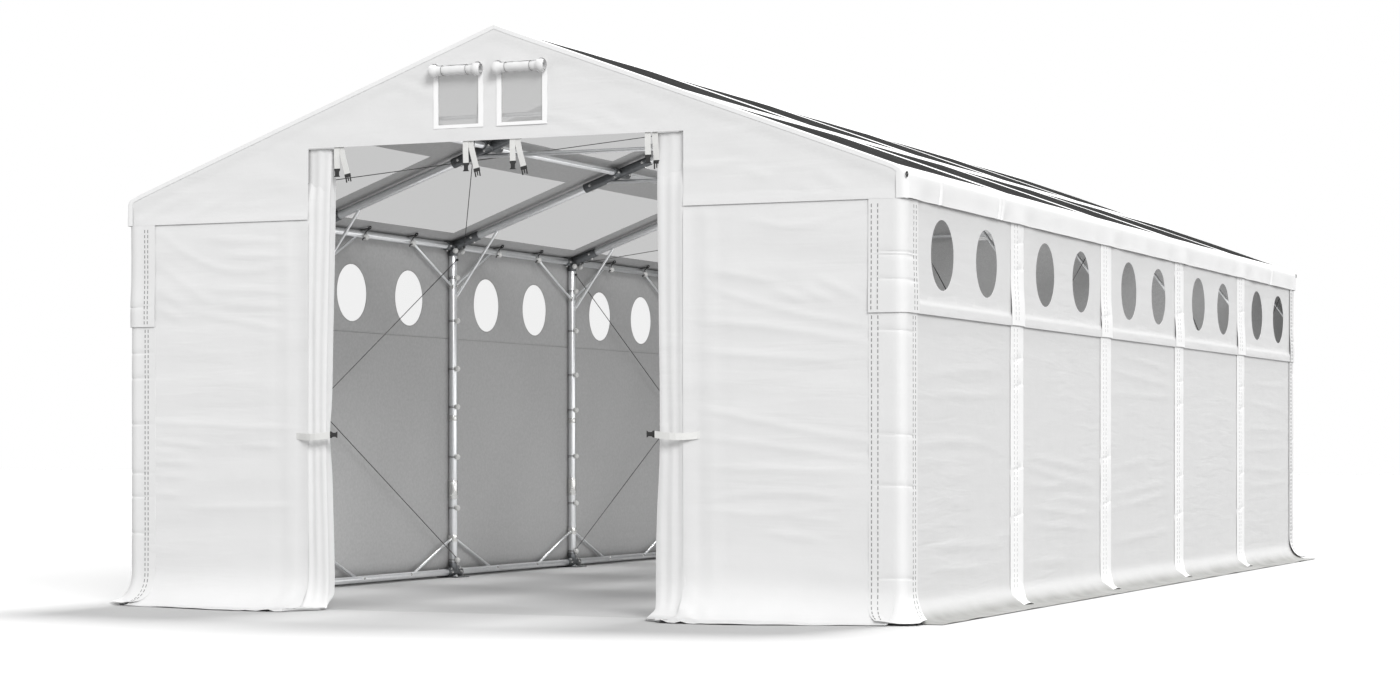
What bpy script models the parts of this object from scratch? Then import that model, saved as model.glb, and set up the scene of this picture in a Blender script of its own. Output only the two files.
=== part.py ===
"""A five-bay marquee tent: a steel tube frame under a white fabric cover.

Metres, +Z up. The origin is on the ground at the centre of the footprint,
+X points to the right of someone facing the doorway, and the doorway end
is at -Y.
"""
import math

import bpy
import bmesh
from mathutils import Matrix, Vector

# Driving dimensions of the frame
BAYS = 5
BAY = 2.0
POST_X = 2.47
RIDGE_Z = 3.38
EAVE_X = 2.532
EAVE_Z = 2.475
GAP = 0.0003

# Tubes and their sleeves
POST_R = 0.030
RAFTER_R = 0.028
SLEEVE_R = 0.034
SIDE_SLEEVE_R = 0.033
EAVE_RAIL_R = 0.026
PURLIN_R = 0.022
GROUND_RAIL_R = 0.025
BRACE_R = 0.011
COLLAR_R = 0.014
CABLE_R = 0.003
CABLE_PASS = 0.001
STUB_R = 0.009
TUBE_SIDES = 8
THIN_SIDES = 6

# Heights and lengths along the frame
GROUND_RAIL_Z = 0.040
FOOT_PLATE_HALF = 0.09
FOOT_PLATE_T = 0.008
FOOT_SLEEVE = 0.10
CLAMP_Z = 0.29
CLAMP_HALF = 0.025
SPLICE_LOW = 0.58
SPLICE_HIGH = 0.72
LOWER_BRACE = 0.58
UPPER_BRACE = 0.58
UPPER_BRACE_Z = 2.16
RAFTER_BRACE_Z = 2.07
RAFTER_BRACE_X = 2.10
POST_ARM = 0.07
EAVE_SLEEVE = 0.23
EAVE_SIDE_SLEEVE = 0.12
MID_SLEEVE_LOW_X = 1.38
MID_SLEEVE_HIGH_X = 0.86
MID_PURLIN_X = 1.10
RIDGE_SLEEVE = 0.25
COLLAR_Z = 2.885
CABLE_LOW_Z = 0.14
CABLE_TOP_MARGIN = 0.03
ROOF_CABLE_REACH = 0.10
RAIL_OVERRUN = 0.03

# Fabric
FABRIC_T = 0.005
FILM_T = 0.0037
VALANCE_Z = 2.32
WALL_TOP = 2.46
END_WALL_TOP = 2.42
END_WALL_STEP = 0.25
SKIRT_START_Z = 0.22
SKIRT_CURVE = 0.15
SIDE_SKIRT = 0.205
COVER_SKIRT = 0.155
END_SKIRT_CORNER = 0.16
END_SKIRT_DOOR = 0.34
END_SKIRT_RISE = 0.9
SKIRT_STEPS = 5
TRIM_DROP = 0.042
STRIP_HALF = 0.14
COVER_FRONT_X = 2.315
COVER_SIDE_Y = 4.84
COVER_RADIUS = 0.0447
COVER_STEPS = 4
WALL_END_Y = 4.985
END_WALL_X = 2.455

# Doorway and gable vents
FRONT_CENTRE = -0.027
DOOR_HALF = 1.222
DOOR_TOP = 2.743
VENT_OFFSET = 0.207
VENT_HALF = 0.132
VENT_LOW = 2.841
VENT_HIGH = 3.137
VENT_MARGIN = 0.02
ROLL_R = 0.038
ROLL_HALF = 0.165
ROLL_Z = 3.153
ROLL_SEAT = 0.003
CURTAIN_HALF_DEPTH = 0.05

# Windows and skylights
WINDOW_R = 0.20
WINDOW_Z = 2.045
WINDOW_OFFSET = 0.404
WINDOW_SIDES = 20
WINDOW_FILM_LOW = 1.80
WINDOW_FILM_HIGH = 2.29
SKYLIGHT_ROWS = ((0.07, 0.43), (0.58, 0.93))
SKYLIGHT_HALF = 0.80
SKYLIGHT_FILM = (0.05, 0.95)
SKYLIGHT_FILM_T = 0.004
FILM_END_Y = 4.9

# Values worked out from the driving dimensions
END_Y = BAYS * BAY / 2
FRAME_YS = [index * BAY - END_Y for index in range(BAYS + 1)]
BAY_CENTRES = [(index + 0.5) * BAY - END_Y for index in range(BAYS)]
SLOPE = (RIDGE_Z - EAVE_Z) / EAVE_X
PITCH = math.atan(SLOPE)
ROOF_T_Z = FABRIC_T / math.cos(PITCH)
AXIS_DROP = (FABRIC_T + GAP + SLEEVE_R) / math.cos(PITCH)
AXIS_RIDGE_Z = RIDGE_Z - AXIS_DROP
AXIS_EAVE_Z = AXIS_RIDGE_Z - SLOPE * POST_X
POST_TOP = AXIS_EAVE_Z - POST_ARM
SIDE_INNER = POST_X + SLEEVE_R + GAP
END_INNER = END_Y + SLEEVE_R + GAP
GABLE_INNER = END_INNER + FABRIC_T + GAP
GABLE_OUTER = GABLE_INNER + FABRIC_T
TRIM_INNER = GABLE_OUTER + GAP
TRIM_OUTER = TRIM_INNER + FABRIC_T
WALL_CABLE_X = POST_X - POST_R - CABLE_R - GAP
ROOF_CABLE_DROP = (SLEEVE_R + CABLE_R + GAP) / math.cos(PITCH)
# The two-bay wind bracing spans the first two and the last two bays
BRACED_SPANS = {"front": (FRAME_YS[0], FRAME_YS[2]), "back": (FRAME_YS[3], FRAME_YS[5])}
SIDES = {"left": -1, "right": 1}
ENDS = {"front": -1, "back": 1}


def clear_scene():
    for item in list(bpy.data.objects):
        bpy.data.objects.remove(item, do_unlink=True)


def material(name, colour, roughness, metallic=0.0):
    made = bpy.data.materials.new(name)
    made.use_nodes = True
    shader = made.node_tree.nodes["Principled BSDF"]
    shader.inputs["Base Color"].default_value = (*colour, 1.0)
    shader.inputs["Roughness"].default_value = roughness
    shader.inputs["Metallic"].default_value = metallic
    return made


def finish_mesh(shape, name="piece"):
    """Turns a bmesh into a mesh whose faces point outwards."""
    bmesh.ops.recalc_face_normals(shape, faces=shape.faces)
    mesh = bpy.data.meshes.new(name)
    shape.to_mesh(mesh)
    shape.free()
    return mesh


def tube(start, end, radius, sides=TUBE_SIDES):
    """A solid round bar from one point to another."""
    start = Vector(start)
    end = Vector(end)
    direction = end - start
    turn = direction.to_track_quat("Z", "Y").to_matrix().to_4x4()
    place = Matrix.Translation((start + end) / 2) @ turn
    shape = bmesh.new()
    bmesh.ops.create_cone(
        shape, cap_ends=True, segments=sides, radius1=radius, radius2=radius,
        depth=direction.length, matrix=place,
    )
    return finish_mesh(shape)


def bent_tube(points, radius, sides=TUBE_SIDES):
    """A solid round bar through points of one frame plane, mitred at its bends."""
    spots = [Vector(point) for point in points]
    across = Vector((0, 1, 0))
    rings = []
    for index, spot in enumerate(spots):
        before = (spot - spots[max(index - 1, 0)]).normalized()
        after = (spots[min(index + 1, len(spots) - 1)] - spot).normalized()
        way = (before + after).normalized()
        normal = way.cross(across)
        stretch = 1 / max(way.dot(after), way.dot(before))
        ring = []
        for step in range(sides):
            angle = math.tau * (step + 0.5) / sides
            ring.append(spot + radius * math.cos(angle) * across
                        + radius * stretch * math.sin(angle) * normal)
        rings.append(ring)
    return loft(rings)


def box(low, high):
    low = Vector(low)
    high = Vector(high)
    place = Matrix.Translation((low + high) / 2) @ Matrix.Diagonal((*(high - low), 1.0))
    shape = bmesh.new()
    bmesh.ops.create_cube(shape, size=1.0, matrix=place)
    return finish_mesh(shape)


def prism(outline, y_low, y_high):
    """Extrudes an outline of (x, z) points along Y."""
    shape = bmesh.new()
    corners = [shape.verts.new((x, y_low, z)) for x, z in outline]
    face = shape.faces.new(corners)
    grown = bmesh.ops.extrude_face_region(shape, geom=[face])
    moved = [item for item in grown["geom"] if isinstance(item, bmesh.types.BMVert)]
    bmesh.ops.translate(shape, verts=moved, vec=(0, y_high - y_low, 0))
    return finish_mesh(shape)


def loft(rings):
    """Joins rings of points, each with as many points as the next, and caps the ends."""
    shape = bmesh.new()
    loops = [[shape.verts.new(point) for point in ring] for ring in rings]
    count = len(loops[0])
    for near, far in zip(loops, loops[1:]):
        for index in range(count):
            after = (index + 1) % count
            shape.faces.new((near[index], near[after], far[after], far[index]))
    shape.faces.new(loops[0])
    shape.faces.new(loops[-1])
    return finish_mesh(shape)


def sweep(stations):
    """Lofts wall profiles; a station is a plan point, its outward way and a profile."""
    rings = []
    for point, outward, profile in stations:
        ring = [(point[0] + outward[0] * out, point[1] + outward[1] * out, z) for out, z in profile]
        rings.append(ring)
    return loft(rings)


def solid(name, pieces, cuts, look, smooth=False, solver="EXACT"):
    """Unites the pieces, takes the cuts away and places one named object."""
    base = bpy.data.objects.new(name, pieces[0])
    bpy.context.collection.objects.link(base)
    helpers = []
    steps = [("UNION", mesh) for mesh in pieces[1:]]
    steps += [("DIFFERENCE", mesh) for mesh in cuts]
    for operation, mesh in steps:
        helper = bpy.data.objects.new(name + "_helper", mesh)
        bpy.context.collection.objects.link(helper)
        helpers.append(helper)
        step = base.modifiers.new(operation.lower(), "BOOLEAN")
        step.operation = operation
        step.solver = solver
        step.object = helper
    bpy.context.view_layer.update()
    evaluated = base.evaluated_get(bpy.context.evaluated_depsgraph_get())
    result = bpy.data.meshes.new_from_object(evaluated)
    base.modifiers.clear()
    base.data = result
    for helper in helpers:
        bpy.data.objects.remove(helper, do_unlink=True)
    result.materials.clear()
    result.materials.append(look)
    if smooth:
        result.shade_smooth()
        result.set_sharp_from_angle(angle=math.radians(35))
    return base


def roof_outer(x):
    """Height of the canopy's top face."""
    return RIDGE_Z - SLOPE * abs(x)


def rafter_axis(x):
    return AXIS_RIDGE_Z - SLOPE * abs(x)


def along_rafter(side, distance):
    """Plan X and height of the point this far up the rafter from the eave joint."""
    x = POST_X - distance * math.cos(PITCH)
    return side * x, rafter_axis(x)


def slope_x(share):
    """Distance from the ridge line of a point this share of the way up the roof."""
    return EAVE_X * (1 - share)


def wall_profile(lift, thickness, top, reach):
    """Closed outline of a wall that curls out on to the ground, as (out, z) points.

    The wall's inner face, at no lift, is upright down to SKIRT_START_Z, turns
    outwards on a quarter of an ellipse and lies flat on the ground.
    """
    def face(offset):
        points = [(offset, top), (offset, SKIRT_START_Z)]
        for step in range(1, SKIRT_STEPS):
            angle = math.radians(90) * step / SKIRT_STEPS
            way_out = math.cos(angle) / SKIRT_CURVE
            way_up = math.sin(angle) / SKIRT_START_Z
            length = math.hypot(way_out, way_up)
            out = SKIRT_CURVE * (1 - math.cos(angle)) + offset * way_out / length
            height = SKIRT_START_Z * (1 - math.sin(angle)) + offset * way_up / length
            points.append((out, height))
        points.append((SKIRT_CURVE, offset))
        points.append((reach, offset))
        return points

    return face(lift) + face(lift + thickness)[::-1]


def end_skirt_reach(x):
    """How far the end wall lies out on the ground: little at the corners."""
    share = min(1.0, max(0.0, (END_WALL_X - abs(x)) / END_SKIRT_RISE))
    eased = share * share * (3 - 2 * share)
    return END_SKIRT_CORNER + (END_SKIRT_DOOR - END_SKIRT_CORNER) * eased


def rail_line(side, radius, low=False):
    """A rail along the eave, or along the ground, from end to end."""
    height = GROUND_RAIL_Z if low else AXIS_EAVE_Z
    x = side * POST_X
    reach = END_Y + RAIL_OVERRUN
    return tube((x, -reach, height), (x, reach, height), radius)


def purlin_line(x, radius):
    reach = END_Y + RAIL_OVERRUN
    height = rafter_axis(x)
    return tube((x, -reach, height), (x, reach, height), radius)


def rafter_line(side, y, radius):
    return bent_tube([(side * POST_X, y, AXIS_EAVE_Z), (0, y, AXIS_RIDGE_Z)], radius)


def sleeve_ends(y, half):
    """Ends of a sleeve along Y, cut short outside the end frames."""
    low = y - (half if y > FRAME_YS[0] else SLEEVE_R)
    high = y + (half if y < FRAME_YS[-1] else SLEEVE_R)
    return low, high


def bay_ways(y):
    """The ways along Y in which a frame has a neighbour."""
    ways = []
    if y > FRAME_YS[0]:
        ways.append(-1)
    if y < FRAME_YS[-1]:
        ways.append(1)
    return ways


def make_post(number, side_name, y, look):
    """A post with its foot, splice sleeve and the braces clamped to it."""
    side = SIDES[side_name]
    x = side * POST_X
    foot_low, foot_high = sleeve_ends(y, FOOT_SLEEVE)
    pieces = [
        tube((x, y, FOOT_PLATE_T / 2), (x, y, POST_TOP - GAP), POST_R),
        box((x - FOOT_PLATE_HALF, y - FOOT_PLATE_HALF, 0),
            (x + FOOT_PLATE_HALF, y + FOOT_PLATE_HALF, FOOT_PLATE_T)),
        tube((x, foot_low, GROUND_RAIL_Z), (x, foot_high, GROUND_RAIL_Z), SLEEVE_R),
        tube((x, y, SPLICE_LOW), (x, y, SPLICE_HIGH), SLEEVE_R),
        tube((x, y, CLAMP_Z - CLAMP_HALF), (x, y, CLAMP_Z + CLAMP_HALF), SLEEVE_R),
    ]
    for way in bay_ways(y):
        pieces.append(tube((x, y, CLAMP_Z), (x, y + way * LOWER_BRACE, GROUND_RAIL_Z),
                           BRACE_R, THIN_SIDES))
        pieces.append(tube((x, y, UPPER_BRACE_Z), (x, y + way * UPPER_BRACE, AXIS_EAVE_Z),
                           BRACE_R, THIN_SIDES))
    pieces.append(tube((x, y, RAFTER_BRACE_Z),
                       (side * RAFTER_BRACE_X, y, rafter_axis(RAFTER_BRACE_X)),
                       BRACE_R, THIN_SIDES))
    cuts = [
        rail_line(side, GROUND_RAIL_R + GAP, low=True),
        rail_line(side, EAVE_RAIL_R + GAP),
        rafter_line(side, y, RAFTER_R + GAP),
    ]
    return solid(f"post_{side_name}_{number}", pieces, cuts, look, smooth=True)


def make_truss(number, y, look):
    """Two rafters with their joints and collar tie; the rails thread through it."""
    ridge = (0, y, AXIS_RIDGE_Z)
    side_low, side_high = sleeve_ends(y, EAVE_SIDE_SLEEVE)
    eaves = [(side * POST_X, y, AXIS_EAVE_Z) for side in SIDES.values()]
    ridge_reach = POST_X / math.cos(PITCH) - RIDGE_SLEEVE
    ridge_ends = []
    for side in SIDES.values():
        sleeve_x, sleeve_z = along_rafter(side, ridge_reach)
        ridge_ends.append((sleeve_x, y, sleeve_z))
    pieces = [
        bent_tube([eaves[0], ridge, eaves[1]], RAFTER_R),
        bent_tube([ridge_ends[0], ridge, ridge_ends[1]], SLEEVE_R),
    ]
    cuts = []
    for side, eave in zip(SIDES.values(), eaves):
        sleeve_x, sleeve_z = along_rafter(side, EAVE_SLEEVE)
        mid_low = (side * MID_SLEEVE_LOW_X, y, rafter_axis(MID_SLEEVE_LOW_X))
        mid_high = (side * MID_SLEEVE_HIGH_X, y, rafter_axis(MID_SLEEVE_HIGH_X))
        purlin_z = rafter_axis(MID_PURLIN_X)
        pieces += [
            bent_tube([(sleeve_x, y, sleeve_z), eave, (eave[0], y, POST_TOP)], SLEEVE_R),
            tube((eave[0], side_low, eave[2]), (eave[0], side_high, eave[2]), SIDE_SLEEVE_R),
            bent_tube([mid_low, mid_high], SLEEVE_R),
            tube((side * MID_PURLIN_X, side_low, purlin_z),
                 (side * MID_PURLIN_X, side_high, purlin_z), SIDE_SLEEVE_R),
        ]
        cuts += [rail_line(side, EAVE_RAIL_R + GAP),
                 purlin_line(side * MID_PURLIN_X, PURLIN_R + GAP)]
    collar_x = (AXIS_RIDGE_Z - COLLAR_Z) / SLOPE
    pieces += [
        tube((0, side_low, AXIS_RIDGE_Z), (0, side_high, AXIS_RIDGE_Z), SIDE_SLEEVE_R),
        tube((-collar_x, y, COLLAR_Z), (collar_x, y, COLLAR_Z), COLLAR_R, THIN_SIDES),
    ]
    cuts.append(purlin_line(0, PURLIN_R + GAP))
    return solid(f"roof_truss_{number}", pieces, cuts, look, smooth=True)


def make_rails(steel):
    for side_name, side in SIDES.items():
        solid(f"eave_rail_{side_name}", [rail_line(side, EAVE_RAIL_R)], [], steel, smooth=True)
        solid(f"ground_rail_{side_name}", [rail_line(side, GROUND_RAIL_R, low=True)], [],
              steel, smooth=True)
        solid(f"purlin_{side_name}", [purlin_line(side * MID_PURLIN_X, PURLIN_R)], [],
              steel, smooth=True)
    solid("ridge_purlin", [purlin_line(0, PURLIN_R)], [], steel, smooth=True)


def make_wall_cables(side_name, end_name, look):
    """Two crossed cables over two bays, each with a stub against its posts."""
    side = SIDES[side_name]
    near, far = BRACED_SPANS[end_name]
    low_z = CABLE_LOW_Z
    high_z = POST_TOP - CABLE_TOP_MARGIN
    x = side * WALL_CABLE_X
    behind = x - side * CABLE_PASS
    pieces = [
        tube((x, near, low_z), (x, far, high_z), CABLE_R, THIN_SIDES),
        tube((behind, near, high_z), (behind, far, low_z), CABLE_R, THIN_SIDES),
    ]
    cuts = []
    for y in (near, far):
        for z in (low_z, high_z):
            pieces.append(tube((x - side * STUB_R, y, z), (side * POST_X, y, z),
                               STUB_R, THIN_SIDES))
        cuts.append(tube((side * POST_X, y, 0), (side * POST_X, y, POST_TOP), POST_R + GAP))
    solid(f"wall_cables_{end_name}_{side_name}", pieces, cuts, look, smooth=True,
          solver="MANIFOLD")


def make_roof_cables(end_name, look):
    """Crossed cables under both slopes, linked below the ridge joints."""
    near, far = BRACED_SPANS[end_name]
    length = POST_X / math.cos(PITCH)
    pieces = []
    cuts = []
    for side in SIDES.values():
        low_x, low_axis = along_rafter(side, ROOF_CABLE_REACH)
        high_x, high_axis = along_rafter(side, length - ROOF_CABLE_REACH)
        low_z = low_axis - ROOF_CABLE_DROP
        high_z = high_axis - ROOF_CABLE_DROP
        for start, end, drop in ((near, far, 0), (far, near, CABLE_PASS)):
            pieces.append(tube((low_x, start, low_z - drop), (high_x, end, high_z - drop),
                               CABLE_R, THIN_SIDES))
            pieces.append(tube((low_x, start, low_z - STUB_R), (low_x, start, low_axis),
                               STUB_R, THIN_SIDES))
            pieces.append(tube((high_x, start, high_z - STUB_R), (high_x, start, high_axis),
                               STUB_R, THIN_SIDES))
            cuts.append(rafter_line(side, start, SLEEVE_R + GAP))
    for y in (near, far):
        link_z = high_z - CABLE_PASS
        pieces.append(tube((-high_x, y, link_z), (high_x, y, link_z), 2 * CABLE_R, THIN_SIDES))
    solid(f"roof_cables_{end_name}", pieces, cuts, look, smooth=True, solver="MANIFOLD")


def make_canopy(side_name, look):
    """Half the roof sheet with its hanging valance and folded gable trims."""
    side = SIDES[side_name]
    ridge_x = GAP / 2
    inner_x = EAVE_X - FABRIC_T
    outline = [
        (side * ridge_x, roof_outer(ridge_x)),
        (side * EAVE_X, EAVE_Z),
        (side * EAVE_X, VALANCE_Z),
        (side * inner_x, VALANCE_Z),
        (side * inner_x, roof_outer(inner_x) - ROOF_T_Z),
        (side * ridge_x, roof_outer(ridge_x) - ROOF_T_Z),
    ]
    # The trim's edges are inside the sheet, so that the union has no shared faces
    inset = FABRIC_T / 4
    trim_low_x = ridge_x + inset
    trim_high_x = EAVE_X - inset
    trim_outline = [
        (side * trim_low_x, roof_outer(trim_low_x) - inset),
        (side * trim_high_x, roof_outer(trim_high_x) - inset),
        (side * trim_high_x, roof_outer(trim_high_x) - TRIM_DROP),
        (side * trim_low_x, roof_outer(trim_low_x) - TRIM_DROP),
    ]
    pieces = [prism(outline, -TRIM_OUTER, TRIM_OUTER)]
    for end in ENDS.values():
        trim_ys = sorted((end * TRIM_INNER, end * (TRIM_OUTER - inset / 2)))
        pieces.append(prism(trim_outline, *trim_ys))
    cuts = []
    for centre in BAY_CENTRES:
        for low_share, high_share in SKYLIGHT_ROWS:
            xs = sorted((side * slope_x(low_share), side * slope_x(high_share)))
            cuts.append(box((xs[0], centre - SKYLIGHT_HALF, VALANCE_Z),
                            (xs[1], centre + SKYLIGHT_HALF, RIDGE_Z + FABRIC_T)))
    return solid(f"roof_canopy_{side_name}", pieces, cuts, look)


def make_skylight_film(side_name, look):
    """One clear sheet on the roof that closes all the skylights of a slope."""
    side = SIDES[side_name]
    low_x = slope_x(SKYLIGHT_FILM[0])
    high_x = slope_x(SKYLIGHT_FILM[1])
    lift = GAP / math.cos(PITCH)
    top = lift + SKYLIGHT_FILM_T / math.cos(PITCH)
    outline = [
        (side * low_x, roof_outer(low_x) + lift),
        (side * high_x, roof_outer(high_x) + lift),
        (side * high_x, roof_outer(high_x) + top),
        (side * low_x, roof_outer(low_x) + top),
    ]
    return solid(f"skylight_film_{side_name}", [prism(outline, -FILM_END_Y, FILM_END_Y)], [], look)


def side_station(side, y, profile):
    return (side * SIDE_INNER, y), (side, 0), profile


def end_station(end, x, profile):
    return (x, end * END_INNER), (0, end), profile


def make_side_wall(side_name, look):
    """A side wall with its skirt, its strips over the posts and round windows."""
    side = SIDES[side_name]
    sheet = wall_profile(0, FABRIC_T, WALL_TOP, SIDE_SKIRT)
    pieces = [sweep([side_station(side, y, sheet) for y in (-WALL_END_Y, WALL_END_Y)])]
    sunk = FABRIC_T / 5
    strip = wall_profile(FABRIC_T - sunk, FABRIC_T + sunk, WALL_TOP - sunk, COVER_SKIRT)
    for y in FRAME_YS[1:-1]:
        pieces.append(sweep([side_station(side, y + way * STRIP_HALF, strip) for way in (-1, 1)]))
    cuts = []
    for centre in BAY_CENTRES:
        for way in (-1, 1):
            y = centre + way * WINDOW_OFFSET
            cuts.append(tube((side * (SIDE_INNER - FABRIC_T), y, WINDOW_Z),
                             (side * (SIDE_INNER + 2 * FABRIC_T), y, WINDOW_Z),
                             WINDOW_R, WINDOW_SIDES))
    return solid(f"side_wall_{side_name}", pieces, cuts, look)


def make_window_film(side_name, look):
    """One clear strip inside a side wall that closes its round windows."""
    side = SIDES[side_name]
    xs = sorted((side * (SIDE_INNER - GAP), side * (SIDE_INNER - GAP - FILM_T)))
    strip = box((xs[0], -FILM_END_Y, WINDOW_FILM_LOW), (xs[1], FILM_END_Y, WINDOW_FILM_HIGH))
    return solid(f"window_film_{side_name}", [strip], [], look)


def make_corner_cover(end_name, side_name, look):
    """A cover that wraps the corner post from the end wall to the side wall."""
    side = SIDES[side_name]
    end = ENDS[end_name]
    profile = wall_profile(FABRIC_T + GAP, FABRIC_T, VALANCE_Z - GAP, COVER_SKIRT)
    centre_x = SIDE_INNER - COVER_RADIUS
    centre_y = END_INNER - COVER_RADIUS
    stations = [end_station(end, side * COVER_FRONT_X, profile)]
    for step in range(COVER_STEPS + 1):
        angle = math.radians(90) * (1 - step / COVER_STEPS)
        outward = (side * math.cos(angle), end * math.sin(angle))
        point = (side * (centre_x + COVER_RADIUS * math.cos(angle)),
                 end * (centre_y + COVER_RADIUS * math.sin(angle)))
        stations.append((point, outward, profile))
    stations.append(side_station(side, end * COVER_SIDE_Y, profile))
    return solid(f"corner_cover_{end_name}_{side_name}", [sweep(stations)], [], look)


def make_end_wall(name, end, x_from, x_to, look):
    """An end wall panel; its skirt reaches farther out away from the corners."""
    steps = round(abs(x_to - x_from) / END_WALL_STEP)
    stations = []
    for step in range(steps + 1):
        x = x_from + (x_to - x_from) * step / steps
        profile = wall_profile(0, FABRIC_T, END_WALL_TOP, end_skirt_reach(x))
        stations.append(end_station(end, x, profile))
    return solid(name, [sweep(stations)], [], look)


def make_gable(end_name, look):
    """A gable sheet above the wall, with two vent openings and rolled flaps."""
    end = ENDS[end_name]
    side_x = SIDE_INNER
    edge_drop = ROOF_T_Z + GAP / math.cos(PITCH)
    outline = [
        (-side_x, VALANCE_Z),
        (FRONT_CENTRE - DOOR_HALF, VALANCE_Z),
        (FRONT_CENTRE - DOOR_HALF, DOOR_TOP),
        (FRONT_CENTRE + DOOR_HALF, DOOR_TOP),
        (FRONT_CENTRE + DOOR_HALF, VALANCE_Z),
        (side_x, VALANCE_Z),
        (side_x, roof_outer(side_x) - edge_drop),
        (0, RIDGE_Z - edge_drop),
        (-side_x, roof_outer(side_x) - edge_drop),
    ]
    if end_name == "back":
        outline = [outline[0]] + outline[5:]
    ys = sorted((end * GABLE_INNER, end * GABLE_OUTER))
    pieces = [prism(outline, *ys)]
    cuts = []
    for way in (-1, 1):
        x = FRONT_CENTRE + way * VENT_OFFSET
        roll_y = end * (GABLE_OUTER + ROLL_R - ROLL_SEAT)
        pieces.append(tube((x - ROLL_HALF, roll_y, ROLL_Z), (x + ROLL_HALF, roll_y, ROLL_Z),
                           ROLL_R))
        cut_ys = sorted((end * (GABLE_INNER - FABRIC_T), end * (GABLE_OUTER + FABRIC_T)))
        cuts.append(box((x - VENT_HALF, cut_ys[0], VENT_LOW),
                        (x + VENT_HALF, cut_ys[1], ROLL_Z - ROLL_R)))
    return solid(f"{end_name}_gable", pieces, cuts, look)


def make_vent_mesh(end_name, look):
    """One mesh sheet behind both vent openings of a gable."""
    end = ENDS[end_name]
    half = VENT_OFFSET + VENT_HALF + VENT_MARGIN
    ys = sorted((end * (GABLE_INNER - GAP), end * (GABLE_INNER - GAP - FILM_T)))
    sheet = box((FRONT_CENTRE - half, ys[0], VENT_LOW - VENT_MARGIN),
                (FRONT_CENTRE + half, ys[1], VENT_HIGH + VENT_MARGIN))
    return solid(f"vent_mesh_{end_name}", [sheet], [], look)


def make_curtain(side_name, look):
    """A door curtain gathered against the doorway's edge, narrow at its tie."""
    side = SIDES[side_name]
    edge = FRONT_CENTRE + side * (DOOR_HALF - 2 * GAP)
    # Height, width across the doorway and half depth of each ring
    levels = (
        (0.0, 0.165, 1.5 * CURTAIN_HALF_DEPTH),
        (0.12, 0.160, 1.1 * CURTAIN_HALF_DEPTH),
        (0.60, 0.150, CURTAIN_HALF_DEPTH),
        (1.04, 0.135, 0.7 * CURTAIN_HALF_DEPTH),
        (1.50, 0.150, 0.9 * CURTAIN_HALF_DEPTH),
        (DOOR_TOP - 2 * GAP, 0.160, CURTAIN_HALF_DEPTH),
    )
    rings = []
    for height, width, depth in levels:
        centre = edge - side * width / 2
        ring = []
        for step in range(TUBE_SIDES):
            angle = math.tau * (step + 0.5) / TUBE_SIDES
            ring.append((centre + width / 2 * math.cos(angle),
                         -END_INNER + depth * math.sin(angle), height))
        rings.append(ring)
    return solid(f"curtain_{side_name}", [loft(rings)], [], look, smooth=True)


def make_frame():
    steel = material("galvanised steel", (0.62, 0.63, 0.64), 0.35, 1.0)
    cable = material("steel cable", (0.30, 0.30, 0.31), 0.4, 1.0)
    for number, y in enumerate(FRAME_YS, start=1):
        for side_name in SIDES:
            make_post(number, side_name, y, steel)
        make_truss(number, y, steel)
    make_rails(steel)
    for end_name in ENDS:
        for side_name in SIDES:
            make_wall_cables(side_name, end_name, cable)
        make_roof_cables(end_name, cable)


def make_cover():
    roof_fabric = material("white roof fabric", (0.93, 0.93, 0.93), 0.6)
    wall_fabric = material("white wall fabric", (0.86, 0.86, 0.86), 0.6)
    trim_fabric = material("white trim fabric", (0.96, 0.96, 0.96), 0.6)
    film = material("clear film", (0.35, 0.35, 0.36), 0.2)
    mesh = material("grey mesh", (0.6, 0.6, 0.6), 0.8)
    for side_name in SIDES:
        make_canopy(side_name, roof_fabric)
        make_skylight_film(side_name, film)
        make_side_wall(side_name, wall_fabric)
        make_window_film(side_name, film)
        make_curtain(side_name, wall_fabric)
        for end_name in ENDS:
            make_corner_cover(end_name, side_name, trim_fabric)
    for end_name in ENDS:
        make_gable(end_name, wall_fabric)
        make_vent_mesh(end_name, mesh)
    for side_name, side in SIDES.items():
        door_edge = FRONT_CENTRE + side * DOOR_HALF
        make_end_wall(f"front_wall_{side_name}", ENDS["front"], side * END_WALL_X, door_edge,
                      wall_fabric)
    make_end_wall("back_wall", ENDS["back"], -END_WALL_X, END_WALL_X, wall_fabric)


def main():
    clear_scene()
    make_frame()
    make_cover()


main()
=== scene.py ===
"""Looks of a five-bay marquee tent: its cloth cover, clear windows, steel frame and fittings.

Metres, +Z up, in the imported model's frame: the doorway end is at -Y, and +X is
to the right of someone who faces the doorway.
"""
import math

import bmesh
import bpy
from mathutils import Matrix, Vector, noise


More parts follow.
